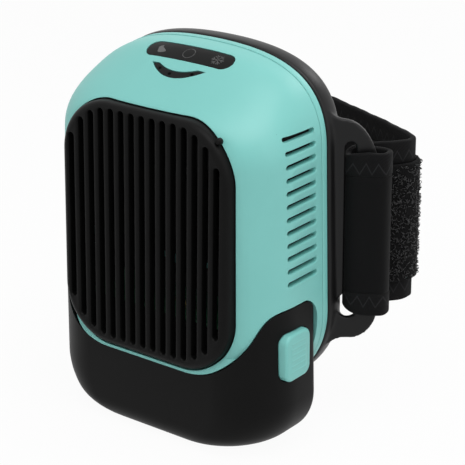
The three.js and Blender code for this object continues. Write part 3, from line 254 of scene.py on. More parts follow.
def round_rect(x0, x1, y0, y1, radius, steps=8):
    return np.concatenate([
        arc(x1 - radius, y0 + radius, radius, -math.pi / 2, steps),
        arc(x1 - radius, y1 - radius, radius, 0, steps),
        arc(x0 + radius, y1 - radius, radius, math.pi / 2, steps),
        arc(x0 + radius, y0 + radius, radius, math.pi, steps),
    ])


def bezier(a, b, c, d, steps):
    t = np.linspace(0, 1, steps + 1)[:, None]
    a, b, c, d = (np.array(p, float) for p in (a, b, c, d))
    return a * (1 - t) ** 3 + 3 * b * t * (1 - t) ** 2 + 3 * c * t * t * (1 - t) + d * t ** 3


def quadratic(a, b, c, steps):
    t = np.linspace(0, 1, steps + 1)[:, None]
    return np.array(a) * (1 - t) ** 2 + 2 * np.array(b) * t * (1 - t) + np.array(c) * t * t


def both_sides(right_half):
    """A half outline that starts and ends on the middle line, and its mirror image."""
    left_half = right_half[1:-1][::-1] * (-1, 1)
    return np.concatenate([right_half, left_half])


def at_y(outline, y):
    return np.stack([outline[:, 0], np.full(len(outline), y), outline[:, 1]], 1)


def at_x(outline, x):
    return np.stack([np.full(len(outline), x), outline[:, 0], outline[:, 1]], 1)


def at_z(outline, z):
    return np.stack([outline[:, 0], outline[:, 1], np.full(len(outline), z)], 1)


body_height = 0.138
base_width = 0.1004
shoulder_width = 0.096
shoulder_height = 0.106
shell_front = -0.017
side_seam = 0.0186
shell_back = 0.022
shell_wall = 0.0024
rim_bottom = 0.012
rim_corner = 0.035
side_round = 0.020
top_round = 0.004
dome_slope_share = 0.64
dome_start = 0.0105
dome_blend = 0.004
shoulder_rise_share = 0.78
arch_share = 0.65
shoulder_drop_share = 0.1
fit = 0.0003
seam_gap = 0.0004
overrun = 0.002


def half_width(z):
    return base_width / 2 + (shoulder_width - base_width) / 2 * (z / shoulder_height)


def dome_drop(y):
    ahead = dome_start - y
    return dome_slope_share / 2 * (ahead + math.hypot(ahead, dome_blend))


def body_outline(inset, top_inset, drop, foot_steps=18, side_steps=12, arch_steps=44):
    top = body_height - drop - top_inset
    corner_top = rim_bottom + rim_corner
    side = half_width(corner_top) - inset
    shoulder = half_width(shoulder_height) - inset
    shoulder_z = shoulder_height - drop * shoulder_drop_share
    foot = arc(side - rim_corner + inset, corner_top, rim_corner - inset, -math.pi / 2, foot_steps)
    flank = np.linspace((side, corner_top), (shoulder, shoulder_z), side_steps + 1)[1:]
    arch = bezier(
        (shoulder, shoulder_z),
        (shoulder, shoulder_z + (top - shoulder_z) * shoulder_rise_share),
        (shoulder * arch_share, top),
        (0, top),
        arch_steps,
    )[1:]
    return both_sides(np.concatenate([[(0, rim_bottom + inset)], foot, flank, arch]))


def round_inset(radius, behind):
    return 0 if behind >= radius else radius - math.sqrt(radius ** 2 - (radius - behind) ** 2)


def body_skin(name, depth, end):
    front = shell_front + depth
    turns = [1 - math.cos(t) for t in np.linspace(0, math.pi / 2, 15)]
    small = [1 - math.cos(t) for t in np.linspace(0, math.pi / 2, 7)]
    places = {round(front + side_round * share, 6) for share in turns}
    places |= {round(front + top_round * share, 6) for share in small}
    places |= {round(y, 6) for y in np.linspace(front + side_round, end, 9)}
    rings = []
    for y in sorted(places):
        side = depth + round_inset(side_round - depth, y - front)
        top = depth + round_inset(top_round, y - front)
        rings.append(at_y(body_outline(side, top, dome_drop(y)), y))
    return skin(name, rings)


battery_front = -0.019
battery_back = 0.015
seam_height = 0.030
seam_flat_half = 0.018
seam_knee = (0.0405, 0.0425)
knee_run = 0.004
knee_slope_share = 1.45
ear_height = 0.0554
ear_back_round = 0.0085


def battery_space(gap):
    """All that lies under the curved seam of the battery, up to its back wall."""
    outer, low = base_width / 2 + overrun, -overrun
    level, top = seam_height + gap, ear_height + gap
    knee = (seam_knee[0] - gap, seam_knee[1] + gap)
    rise = knee_run * knee_slope_share
    half = np.concatenate([
        [(0, level)],
        bezier((seam_flat_half, level), ((seam_flat_half + knee[0]) / 2, level),
               (knee[0] - knee_run, knee[1] - rise), knee, 20),
        bezier(knee, (knee[0] + knee_run, knee[1] + rise),
               (knee[0] + knee_run, top), (base_width / 2, top), 20)[1:],
        [(outer, top), (outer, low), (0, low)],
    ])
    face = both_sides(half)
    space = skin("space", [at_y(face, battery_front * 2), at_y(face, battery_back + gap)])
    rear = battery_back + gap
    ear = arc(rear - ear_back_round, top - ear_back_round, ear_back_round, 0, 12)
    side = np.concatenate([[(battery_front * 2, -2 * overrun), (rear, -2 * overrun)], ear,
                           [(battery_front * 2, top)]])
    return carved(space, "INTERSECT", [skin("profile", [at_x(side, -outer), at_x(side, outer)])])


slope_angle = math.atan(dome_slope_share)
slope_out = Vector((0, -math.sin(slope_angle), math.cos(slope_angle)))
slope_up = Vector((0, math.cos(slope_angle), math.sin(slope_angle)))
panel_y = 0.0075
panel_centre = Vector((0, panel_y, body_height - dome_drop(panel_y)))
panel_long = 0.0368
panel_wide = 0.0073
panel_thick = 0.0012
panel_sunk = 0.00015
recess_depth = panel_sunk + panel_thick + seam_gap
slope_reach = 0.012


def on_slope(outline, out):
    return np.array([panel_centre + Vector((u, 0, 0)) + slope_up * v + slope_out * out for u, v in outline])


def panel_outline(grow):
    wide = panel_wide / 2 + grow
    long = panel_long / 2 + grow
    return round_rect(-long, long, -wide, wide, wide - fit / 10, 14)


smile_half = 0.0109
smile_inner_half = 0.0086
smile_depth = 0.005
smile_inner_depth = 0.0023
smile_below = 0.0069


def smile_outline(grow):
    chord = grow - smile_below
    tip = smile_half + 2.5 * grow
    inner = smile_inner_half - grow
    deepest = chord - 2 * (smile_depth + 2 * grow)
    lower = quadratic((-tip, chord), (0, deepest), (tip, chord), 20)
    upper = quadratic((inner, chord), (0, chord - 2 * smile_inner_depth), (-inner, chord), 20)
    return np.concatenate([lower, upper])


def dome_layer(name, outline, top, bottom):
    """A piece with a straight edge that follows the dome between two depths."""
    column = skin(name, [on_slope(outline, -slope_reach), on_slope(outline, slope_reach)])
    carved(column, "INTERSECT", [body_skin("over", top, side_seam)])
    return carved(column, "DIFFERENCE", [body_skin("under", bottom, side_seam + overrun)])


grille_half = 0.0368
grille_bottom = 0.0316
grille_top = 0.1211
grille_corner = 0.020
grille_front = -0.020
grille_edge = 0.003
grille_lean = math.radians(1.76)
grille_pivot = Vector((0, shell_front + shell_wall / 2, (grille_bottom + grille_top) / 2))
grille_tilt = (Matrix.Translation(grille_pivot) @ Matrix.Rotation(-grille_lean, 4, "X")
               @ Matrix.Translation(-grille_pivot))


def grille_outline(grow, steps):
    return round_rect(-grille_half - grow, grille_half + grow, grille_bottom - grow, grille_top + grow,
                      grille_corner + grow, steps)


def grille_edge_rings(gap, back):
    """The rounded front edge of the grille, a gap larger all round, and its rim straight to the back."""
    rings = []
    for t in np.linspace(0, math.pi / 2, 9):
        grow = grille_edge * (math.sin(t) - 1) + gap
        rings.append(at_y(grille_outline(grow, 20), grille_front - gap + grille_edge * (1 - math.cos(t))))
    return rings + [rings[-1] * (1, 0, 1) + (0, back, 0)]


vent_count = 12
vent_pitch = 0.00462
vent_top = 0.1151
vent_centre = 0.0072
vent_long = 0.0163
vent_wide = 0.0018
vent_lip = 0.0005
# Each vent's cutter widens towards the skin, for a soft edge: (out of the flank, wider by)
vent_steps = ((-3 * overrun, 0), (-vent_lip, 0), (-vent_lip / 4, vent_lip / 4), (0, vent_lip * 0.7),
              (vent_lip, 2 * vent_lip), (overrun, 2 * vent_lip))
nearly_round = 0.999

shell = body_skin("front_shell_skin", 0, side_seam)
carved(shell, "DIFFERENCE", [body_skin("hollow", shell_wall, side_seam + overrun), battery_space(seam_gap)])
opening = grille_outline(seam_gap, 16)
tools = [skin("mouth", [at_y(opening, shell_front - overrun), at_y(opening, 0)])]
for outline in (panel_outline(fit), smile_outline(fit)):
    column = skin("column", [on_slope(outline, -slope_reach), on_slope(outline, slope_reach)])
    tools.append(carved(column, "DIFFERENCE", [body_skin("floor", recess_depth, side_seam + overrun)]))
for i in range(vent_count):
    z = vent_top - i * vent_pitch
    for side in (1, -1):
        rings = []
        for out, grow in vent_steps:
            half, tall = vent_long / 2 + grow, vent_wide / 2 + grow
            vent = round_rect(vent_centre - half, vent_centre + half, z - tall, z + tall,
                              tall * nearly_round, 5)
            rings.append(at_x(vent, side * (half_width(z) + out)))
        tools.append(skin("vent", rings))
carved(shell, "DIFFERENCE", tools)

# A lip of the same moulding stands out under the grille and dies away at both sides
lip_proud = 0.0028
lip_slope = 0.42
lip_start = 0.0312
lip_top = 0.0388
lip_half = 0.0462
lip_fade = (0.037, 0.0455)
lip_steps = 61
room_back = -0.010
rings = []
for x in np.linspace(-lip_half, lip_half, lip_steps):
    inset = min(half_width(lip_start) - abs(x), side_round)
    bend = side_round - math.sqrt(side_round ** 2 - (side_round - inset) ** 2)
    share = np.interp(abs(x), lip_fade, (1, 0))
    front = shell_front + bend - lip_proud * share * share * (3 - 2 * share) + overrun / 10 * (1 - share)
    deep = front + shell_wall + lip_proud
    rings.append(at_x(np.array([(front, seam_height - overrun), (front, lip_start),
                                (front + lip_slope * (lip_top - lip_start), lip_top),
                                (deep, lip_top), (deep, seam_height - overrun)]), x))
lip = skin("grille_lip", rings)
carved(lip, "INTERSECT", [body_skin("lip_skin", -lip_proud, side_seam)])
room = skin("grille_room", grille_edge_rings(seam_gap, room_back))
room.data.transform(grille_tilt)
carved(lip, "DIFFERENCE", [room, battery_space(seam_gap)])
carved(shell, "UNION", [lip])
smoothed(shell)


def group_of(name, numbers, outputs):
    """A shared effect with named inputs and outputs."""
    tree = bpy.data.node_groups.new(name, "ShaderNodeTree")
    for label, value in numbers:
        socket = tree.interface.new_socket(label, in_out="INPUT", socket_type="NodeSocketFloat")
        socket.default_value = value
    for label in outputs:
        tree.interface.new_socket(label, in_out="OUTPUT", socket_type="NodeSocketFloat")
    return tree, tree.nodes.new("NodeGroupInput").outputs, tree.nodes.new("NodeGroupOutput").inputs


# Fine grain of a moulded surface: tiny even pits, and slow clouds in its tone
tree, given, out = group_of("moulded_grain", [("Grain Size", 0.00025), ("Cloud Size", 0.02)],
                            ("Height", "Cloud"))
where = place(tree, "ShaderNodeTexCoord").outputs["Object"]
for size, label, detail in ((given["Grain Size"], "Height", 2.0), (given["Cloud Size"], "Cloud", 3.0)):
    rate = place(tree, "ShaderNodeMath", operation="DIVIDE", i0=1.0, i1=size)
    noise = place(tree, "ShaderNodeTexNoise", Vector=where, Scale=rate.outputs[0], Detail=detail)
    tree.links.new(noise.outputs["Fac"], out[label])
moulded_grain = tree

# Rubbed edges: where the surface turns sharply, broken up by a fine noise
tree, given, out = group_of("rubbed_edges", [("Reach", 0.0006), ("Amount", 0.5)],
                            ("Mask",))
softened = place(tree, "ShaderNodeBevel", samples=4, Radius=given["Reach"])
shape = place(tree, "ShaderNodeNewGeometry")
dot = place(tree, "ShaderNodeVectorMath", operation="DOT_PRODUCT", i0=softened.outputs[0],
            i1=shape.outputs["Normal"])
sharp = place(tree, "ShaderNodeMapRange", Value=dot.outputs["Value"], From_Min=0.98, From_Max=0.82)
where = place(tree, "ShaderNodeTexCoord").outputs["Object"]
noise = place(tree, "ShaderNodeTexNoise", Vector=where, Scale=700.0, Detail=4.0)
patchy = place(tree, "ShaderNodeMath", operation="MULTIPLY", i0=sharp.outputs[0], i1=noise.outputs["Fac"])
scaled = place(tree, "ShaderNodeMath", operation="MULTIPLY", i0=patchy.outputs[0], i1=given["Amount"])
tree.links.new(scaled.outputs[0], out["Mask"])
rubbed_edges = tree


def use(tree, group, **values):
    node = tree.nodes.new("ShaderNodeGroup")
    node.node_tree = group
    for key, value in values.items():
        node.inputs[key.replace("_", " ")].default_value = value
    return node.outputs


def mixed_colour(tree, share, a, b):
    node = place(tree, "ShaderNodeMix", data_type="RGBA")
    for socket, value in zip((node.inputs[0], node.inputs[6], node.inputs[7]), (share, a, b)):
        if isinstance(value, bpy.types.NodeSocket):
            tree.links.new(value, socket)
        else:
            socket.default_value = value
    return node.outputs[2]


def ranged(tree, value, low, high):
    return place(tree, "ShaderNodeMapRange", Value=value, To_Min=low, To_Max=high).outputs[0]


soft_edge = 0.0003


def moulded(name, deep, pale, worn, rough, grain, bump, wear=0.5, cloud=0.02, gloss=0.5):
    """A moulded plastic or rubber: two tones in slow clouds, fine grain, rubbed edges."""
    material = bpy.data.materials.new(name)
    tree = nodes_of(material)
    surface = use(tree, moulded_grain, Grain_Size=grain, Cloud_Size=cloud)
    edge = use(tree, rubbed_edges, Amount=wear)["Mask"]
    tone = mixed_colour(tree, surface["Cloud"], deep, pale)
    colour = mixed_colour(tree, edge, tone, worn)
    soft = place(tree, "ShaderNodeBevel", samples=4, Radius=soft_edge).outputs[0]
    relief = place(tree, "ShaderNodeBump", Strength=bump, Distance=grain / 4, Height=surface["Height"],
                   Normal=soft)
    shader = place(tree, "ShaderNodeBsdfPrincipled", Base_Color=colour,
                   Roughness=ranged(tree, surface["Cloud"], rough - 0.05, rough + 0.05),
                   Specular_IOR_Level=gloss, Normal=relief.outputs[0])
    place(tree, "ShaderNodeOutputMaterial", Surface=shader.outputs[0])
    return material


def dressed(piece, node, material):
    """The piece takes its finish, rides with its body and stands for its node."""
    piece.data.materials.clear()
    piece.data.materials.append(material)
    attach(piece, frame["nodes"][node]["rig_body"])
    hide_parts(node)
    return piece


teal_plastic = moulded(
    "teal_plastic", deep=(0.190, 0.545, 0.505, 1), pale=(0.215, 0.590, 0.550, 1),
    worn=(0.36, 0.72, 0.68, 1), rough=0.44, grain=0.0003, bump=0.10, wear=0.3)
dressed(shell, "front_shell", teal_plastic)


# Shade nets
# A fine near-black net behind the vents on each side: painted shade that keeps the inside of the vents
# dark.
# Each is a thin sheet laid against the inside of the shell's wall.
net_gap = 0.0004
net_thick = 0.0003
net_margin = 0.0022
net_past_vents = 0.001
net_short_of_seam = 0.0035
net_rows = 12
net_low = vent_top - (vent_count - 1) * vent_pitch - net_margin
net_high = vent_top + net_margin
net_front = vent_centre - vent_long / 2 - net_past_vents
net_rear = side_seam - net_short_of_seam
net_cloth = bpy.data.materials.new("painted_shade_net")
tree = nodes_of(net_cloth)
where = place(tree, "ShaderNodeTexCoord").outputs["Object"]
holes = place(tree, "ShaderNodeTexVoronoi", Vector=where, Scale=2200.0)
clouds = place(tree, "ShaderNodeTexNoise", Vector=where, Scale=300.0, Detail=2.0)
# Near-black tones of the net: painted shade for the inside of the vents
net_deep = (0.002, 0.002, 0.002, 1)
net_pale = (0.007, 0.007, 0.007, 1)
tone = mixed_colour(tree, holes.outputs["Distance"], net_deep, net_pale)
relief = place(tree, "ShaderNodeBump", Strength=0.5, Distance=0.0001, Height=holes.outputs["Distance"])
shader = place(tree, "ShaderNodeBsdfPrincipled", Base_Color=tone, Specular_IOR_Level=0.15,
               Roughness=ranged(tree, clouds.outputs["Fac"], 0.8, 0.95), Normal=relief.outputs[0])
place(tree, "ShaderNodeOutputMaterial", Surface=shader.outputs[0])
for side in (1, -1):
    rings = []
    for y in np.linspace(net_front, net_rear, 14):
        inset = shell_wall + net_gap + round_inset(side_round - shell_wall, y - shell_front - shell_wall)
        rows = np.linspace(net_low, net_high, net_rows)
        outer = [(side * (half_width(z) - inset), z) for z in rows]
        inner = [(side * (half_width(z) - inset - net_thick), z) for z in rows[::-1]]
        rings.append(at_y(np.array(outer + inner), y))
    net = skin("painted_shade_net", rings)
    net.data.materials.append(net_cloth)
    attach(net, frame["nodes"]["front_shell"]["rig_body"])


# Rear shell
# A shallow dish of the same teal plastic that closes the body behind the seam.
# Its edge shows as a narrow band between the front shell and the black frame.
# Both rims of the dish are rounded: (depth, narrower by)
dish_steps = ((side_seam + fit, 0.00035), (side_seam + 1.4 * fit, 0.0001), (side_seam + 2.4 * fit, 0),
              (shell_back - 2 * fit, 0), (shell_back - fit, 0.0001), (shell_back, 0.0004))
floor_thick = 0.002
lip_ahead = 0.003
lip_behind = 0.0017
lip_thick = 0.0016

rear = skin("rear_shell_dish", [at_y(body_outline(grow, grow, 0), y) for y, grow in dish_steps])
wall = body_outline(shell_wall, shell_wall, 0)
carved(rear, "DIFFERENCE", [skin("dish", [at_y(wall, side_seam - overrun),
                                          at_y(wall, shell_back - floor_thick)])])
lip_drop = dome_drop(side_seam - lip_ahead)
lip_line = body_outline(shell_wall + fit, shell_wall + fit, lip_drop)
lip = skin("lip", [at_y(lip_line, side_seam - lip_ahead), at_y(lip_line, shell_back - lip_behind)])
lip_wall = shell_wall + fit + lip_thick
lip_line = body_outline(lip_wall, lip_wall, lip_drop)
carved(lip, "DIFFERENCE", [skin("lip_hollow", [at_y(lip_line, side_seam - lip_ahead - overrun),
                                               at_y(lip_line, shell_back - floor_thick)])])
carved(rear, "UNION", [lip])
module_low, module_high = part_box("thermal_module")
window = round_rect(module_low.x - fit, module_high.x + fit, module_low.z - fit, module_high.z + fit, fit)
carved(rear, "DIFFERENCE", [skin("window", [at_y(window, 0), at_y(window, shell_back + overrun)])])
smoothed(rear)
dressed(rear, "rear_shell", teal_plastic)


# Front grille
# A black moulded plate with fifteen upright slots whose bars are rounded at the front.
# It stands proud of the shell, leans back a little and clips in from the front.
grille_back = -0.0098
grille_plate = 0.003
grille_wall = 0.0024
slot_count = 15
slot_pitch = 0.0046
slot_wide = 0.0024
slot_field_half = 0.034
slot_field_bottom = 0.0349
slot_field_top = 0.1192
slot_field_corner = 0.020
slot_round = 0.0009
bump_at = (0.0318, 0.1163)
bump_radius = 0.0012
bump_shoulder = grille_front + 0.0018
bump_top = grille_front + 0.0013
crown_share = 0.6


def oval(middle, across, up, count):
    turns = np.linspace(0, 2 * math.pi, count + 1)[:-1]
    return np.stack([middle[0] + across * np.cos(turns), middle[1] + up * np.sin(turns)], 1)


grille = skin("front_grille_plate", grille_edge_rings(0, grille_back))
inner = grille_outline(-grille_wall, 16)
tools = [skin("tray", [at_y(inner, grille_front + grille_plate), at_y(inner, 0)])]
for i in range(slot_count):
    x = (i - (slot_count - 1) / 2) * slot_pitch
    past = max(0, abs(x) - slot_field_half + slot_field_corner)
    rise = slot_field_corner - math.sqrt(slot_field_corner ** 2 - past ** 2)
    rings = []
    for t in np.linspace(0, math.pi / 2, 6):
        grow = slot_round * (1 - math.sin(t))
        y = grille_front + slot_round * (1 - math.cos(t))
        half = slot_wide / 2 + grow
        rings.append(at_y(round_rect(x - half, x + half, slot_field_bottom + rise - grow,
                                     slot_field_top - rise + grow, half * nearly_round, 6), y))
    rings.insert(0, rings[0] - (0, overrun, 0))
    rings.append(rings[-1] * (1, 0, 1) + (0, grille_front + grille_plate + overrun, 0))
    tools.append(skin("slot", rings))
carved(grille, "DIFFERENCE", tools)
bump = oval(bump_at, bump_radius, bump_radius, 24)
crown = oval(bump_at, crown_share * bump_radius, crown_share * bump_radius, 24)
carved(grille, "UNION", [skin("release_bump", [at_y(bump, shell_front), at_y(bump, bump_shoulder),
                                               at_y(crown, bump_top)])])
grille.data.transform(grille_tilt)
smoothed(grille)
black_plastic = moulded(
    "black_plastic", deep=(0.0028, 0.0028, 0.0028, 1), pale=(0.0044, 0.0044, 0.0043, 1),
    worn=(0.014, 0.014, 0.014, 1), rough=0.45, grain=0.0003, bump=0.12, wear=0.35, gloss=0.09)
dressed(grille, "front_grille", black_plastic)


# Control panel
# A long lens of smoked glossy plastic, let into the dome a hair below its face.
# Three touch marks are printed on it: a flame, a ring and a frost star.
lens = dome_layer("control_panel_lens", panel_outline(0), panel_sunk, panel_sunk + panel_thick)
smoothed(lens)
smoked = moulded(
    "smoked_lens", deep=(0.0062, 0.0063, 0.0063, 1), pale=(0.0095, 0.0098, 0.0098, 1),
    worn=(0.04, 0.04, 0.04, 1), rough=0.24, grain=0.0002, bump=0.03, wear=0.2, cloud=0.012, gloss=0.09)
dressed(lens, "control_panel", smoked)

ink_level = 0.00004
ink_share = 0.9
ink_line = 0.00026
mark_x = 0.0123
flame_tall = 0.0040
flame_half = 0.0019
flame_bow = 0.0007
flame_belly_share = 0.62
flame_narrow_share = 0.25
ring_outer = 0.0024
arm = 0.0025
barb_place_share = 0.55
barb_long_share = 0.26
barb_half_share = 0.7
barb_root_share = 1.05


def printed(name, shapes, material, host):
    """Thin ink on the host: each shape is an outline on the slope, laid on the surface by a ray."""
    finder = BVHTree.FromObject(host, bpy.context.evaluated_depsgraph_get())
    work = bmesh.new()
    for shape in shapes:
        corners = []
        for u, v in shape:
            start = panel_centre + Vector((u, 0, 0)) + slope_up * v + slope_out * slope_reach
            hit = finder.ray_cast(start, -slope_out)[0]
            corners.append(work.verts.new(hit + slope_out * ink_level))
        edges = [work.edges.new((a, b)) for a, b in zip(corners, corners[1:] + corners[:1])]
        bmesh.ops.triangle_fill(work, edges=edges, use_beauty=True, normal=slope_out)
    made = bmesh.ops.extrude_face_region(work, geom=list(work.faces))["geom"]
    under = [v for v in made if isinstance(v, bmesh.types.BMVert)]
    bmesh.ops.translate(work, vec=-slope_out * (ink_level * ink_share), verts=under)
    bmesh.ops.recalc_face_normals(work, faces=work.faces)
    mesh = bpy.data.meshes.new(name)
    work.to_mesh(mesh)
    work.free()
    mesh.materials.append(material)
    ink = new_object(name, mesh)
    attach(ink, frame["nodes"]["control_panel"]["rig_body"])
    return ink


ink_grey = moulded(
    "printed_ink", deep=(0.065, 0.065, 0.065, 1), pale=(0.11, 0.11, 0.11, 1), worn=(0.15, 0.15, 0.15, 1),
    rough=0.5, grain=0.0001, bump=0.02, wear=0.1)
ink_faint = moulded(
    "faint_ink", deep=(0.045, 0.045, 0.045, 1), pale=(0.070, 0.070, 0.070, 1), worn=(0.1, 0.1, 0.1, 1),
    rough=0.5, grain=0.0001, bump=0.02, wear=0.1)
rise = np.linspace(0, 1, 15)
flame_side = flame_half * np.sin(rise ** flame_belly_share * math.pi) * (1 - flame_narrow_share * rise)
flame_lean = flame_bow * np.sin(rise * 2 * math.pi)
flame_v = (rise - 0.5) * flame_tall
flame = np.concatenate([
    np.stack([flame_lean + flame_side, flame_v], 1),
    np.stack([flame_lean - flame_side, flame_v], 1)[::-1][1:-1],
]) - (mark_x, 0)
circle = oval((0, 0), ring_outer, ring_outer, 40)
hole_share = (ring_outer - ink_line) / ring_outer
ring = [np.array([a, b, b * hole_share, a * hole_share]) for a, b in zip(circle, np.roll(circle, -1, 0))]
frost = []
for i in range(6):
    a = i * math.pi / 3
    along, across = np.array([math.cos(a), math.sin(a)]), np.array([-math.sin(a), math.cos(a)])
    half = ink_line / 2
    bars = [((mark_x, 0) + along * ink_line, (mark_x, 0) + along * arm, across * half)]
    for side in (1, -1):
        root = (mark_x, 0) + along * arm * barb_place_share + across * half * side * barb_root_share
        barb = root + (along + across * side) * arm * barb_long_share
        bars.append((root, barb, (along - across * side) * half * barb_half_share))
    frost += [np.array([base - shift, tip - shift, tip + shift, base + shift]) for base, tip, shift in bars]
printed("touch_marks", [flame] + frost, ink_grey, lens)
printed("ring_mark", ring, ink_faint, lens)


# Indicator window
# A dark crescent under the panel that covers three small status lights.
# It is the same smoked lens, with a small black aperture over each light.
window = dome_layer("indicator_lens", smile_outline(0), panel_sunk, panel_sunk + panel_thick)
smoothed(window)
dressed(window, "indicator_window", smoked)
dot_radius = 0.0006
dot_places = ((-0.0068, -0.0088), (-0.0014, -0.0104), (0.0072, -0.0087))
dots = [oval(spot, dot_radius, dot_radius, 20) for spot in dot_places]
aperture = moulded(
    "black_aperture", deep=(0.0004, 0.0004, 0.0004, 1), pale=(0.0008, 0.0008, 0.0008, 1),
    worn=(0.001, 0.001, 0.001, 1), rough=0.6, grain=0.0001, bump=0.02, wear=0.1, gloss=0.01)
printed("status_dots", dots, aperture, window)


# Battery housing
# A tub of matt black plastic with a round foot and two ears that climb the sides.
# The right ear has the window of the release button, and the back wall the charging socket.
battery_wall = 0.0024
battery_corner = 0.022
battery_back_round = 0.003
side_foot = 0.020
front_foot = 0.008
back_foot = 0.006
button_below = 0.0174
button_tall = 0.0176
button_long = 0.014
button_y = 0.002
button_round = 0.0036
button_height = ear_height - button_below
cover_sunk = 0.002
cover_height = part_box("battery_cover")[0].z + cover_sunk
mouth_half = 0.0408
mouth_front = -0.05
mouth_low, mouth_high = 0.01, 0.08
ear_inside, ear_outside = 0.041, 0.06
socket_half = 0.0048
socket_round = 0.0018


def foot_rise(radius, z):
    return radius - math.sqrt(radius ** 2 - (radius - z) ** 2) if z < radius else 0


def battery_ring(inset, z):
    half = half_width(z) - inset - foot_rise(side_foot, z)
    front = battery_front + inset + foot_rise(front_foot, z)
    rear_wall = battery_back - inset - foot_rise(back_foot, z)
    rear_round = max(battery_back_round - inset, battery_back_round / 3)
    front_round = min(battery_corner - inset, rear_wall - rear_round - front)
    return at_z(both_sides(np.concatenate([
        [(0, front)],
        arc(half - front_round, front + front_round, front_round, -math.pi / 2, 18),
        arc(half - rear_round, rear_wall - rear_round, rear_round, 0, 6),
        [(0, rear_wall)],
    ])), z)


def battery_form(name, inset, low, high):
    steps = [side_foot * (1 - math.cos(t)) for t in np.linspace(0, math.pi / 2, 22)]
    levels = [low] + [z for z in steps if z > low] + [(side_foot + high) / 2, high]
    return skin(name, [battery_ring(inset, z) for z in levels])


def button_outline(grow, steps=10):
    long, tall = button_long / 2 + grow, button_tall / 2 + grow
    return round_rect(button_y - long, button_y + long, button_height - tall, button_height + tall,
                      button_round + grow, steps)


tub = battery_form("battery_housing_tub", 0, 0, ear_height + overrun)
carved(tub, "INTERSECT", [battery_space(0)])
hollow = battery_form("tub_hollow", battery_wall, battery_wall, ear_height - battery_wall)
mouth = battery_form("tub_mouth", battery_wall, cover_height, ear_height + 2 * overrun)
mouth_block = round_rect(-mouth_half, mouth_half, mouth_front, battery_back - battery_wall, fit)
carved(mouth, "INTERSECT", [skin("mouth_block", [at_z(mouth_block, mouth_low),
                                                 at_z(mouth_block, mouth_high)])])
button_hole = button_outline(seam_gap)
socket_low, socket_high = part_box("charge_socket")
socket_hole = round_rect(-socket_half, socket_half, socket_low.z - fit, socket_high.z + fit, socket_round)
carved(tub, "DIFFERENCE", [
    hollow, mouth,
    skin("button_hole", [at_x(button_hole, ear_inside), at_x(button_hole, ear_outside)]),
    skin("socket_hole", [at_y(socket_hole, battery_back - 2 * battery_wall),
                         at_y(socket_hole, battery_back + overrun)]),
])
smoothed(tub)
dressed(tub, "battery_housing", black_plastic)


# Release button
# A teal thumb button with soft edges and low grip ribs, pressed in to free the battery.
# Its flange sits inside the ear, and its latch arm reaches up to the catch.
button_face = 0.0511
button_edge = 0.0011
flange_grow = 0.0013
flange_inner, flange_outer = 0.0455, 0.0467
arm_front, arm_back = 0.00453, 0.00787
arm_thick = 0.0016
rib_count = 6
rib_pitch = 0.0021
rib_half = 0.0042
rib_tall = 0.00045
rib_sunk = 0.0001
rib_proud_share = 0.45
rib_blunt_share = 0.35
rib_tip = 0.04

button_low, button_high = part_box("release_button")
rings = [at_x(button_outline(0), button_low.x)]
for t in np.linspace(0, math.pi / 2, 7):
    grow = button_edge * (math.cos(t) - 1)
    rings.append(at_x(button_outline(grow), button_face - button_edge * (1 - math.sin(t))))
button = skin("release_button_cap", rings)
flange = button_outline(flange_grow)
plate = skin("flange", [at_x(flange, flange_inner), at_x(flange, flange_outer)])
carved(plate, "INTERSECT", [battery_form("inside", battery_wall + fit, battery_wall, ear_height)])
latch = round_rect(arm_front, arm_back, button_height, button_high.z, fit)
carved(button, "UNION", [plate, skin("latch_arm", [at_x(latch, button_low.x),
                                                   at_x(latch, button_low.x + arm_thick)])])
ribs = []
for i in range(rib_count):
    z = button_height + (i - (rib_count - 1) / 2) * rib_pitch
    rings = []
    for t in np.linspace(rib_tip, math.pi - rib_tip, 13):
        thick = rib_tall * math.sin(t) ** rib_blunt_share
        around = oval((button_face - rib_sunk, z), rib_proud_share * thick, thick, 16)
        rings.append(at_y(around, button_y - rib_half * math.cos(t)))
    ribs.append(skin("rib", rings))
carved(button, "UNION", ribs)
smoothed(button)
dressed(button, "release_button", teal_plastic)


# Wing frame
# A soft black silicone cover behind the shells, with a slotted wing on each side for the strap.
# It is one moulding with rolled edges, and its wings run into the rim in soft hollows.
frame_back = 0.031
frame_wall = 0.003
frame_floor = 0.003
frame_swell = 0.0004
# The rim's side bulges, then turns in to the back: (way to the back, swell)
swell_shares = ((0, 0), (0.15, 0.8), (0.4, 1), (0.65, 0.4), (0.85, -0.8), (0.96, -2.2), (1, -3.4))
rim_crowding = 0.8
wing_root = np.array([0.0485, 0.0275])
wing_sweep = math.radians(35)
wing_thick = 0.0026
wing_reach = 0.015
wing_low, wing_high = 0.035, 0.116
slot_inner, slot_outer = 0.0022, 0.0062
slot_bottom, slot_top = 0.043, 0.108
slot_squeeze = 0.0004
pocket_at = (0.0040, 0.0476)
pocket_across, pocket_up = 0.0037, 0.0046
root_length = 0.006
root_flare = 0.006
wing_start = 0.003
low_corner = (0.010, 0.014)
high_corner = (0.013, 0.024)
plate_corner = 0.0143
remesh_size = 0.0006
ease_share = 0.5
ease_times = 5


def quarter(cx, cy, rx, ry, start, steps=16):
    t = start + np.linspace(0, math.pi / 2, steps + 1)
    return np.stack([cx + rx * np.cos(t), cy + ry * np.sin(t)], 1)


def beside(along, ahead):
    c, s = math.cos(wing_sweep), math.sin(wing_sweep)
    return wing_root + (along * c + ahead * s, along * s - ahead * c)


def wing_plate(name, outline, half_thick):
    return skin(name, [np.array([(*beside(u, ahead), v) for u, v in outline])
                       for ahead in (half_thick, -half_thick)])


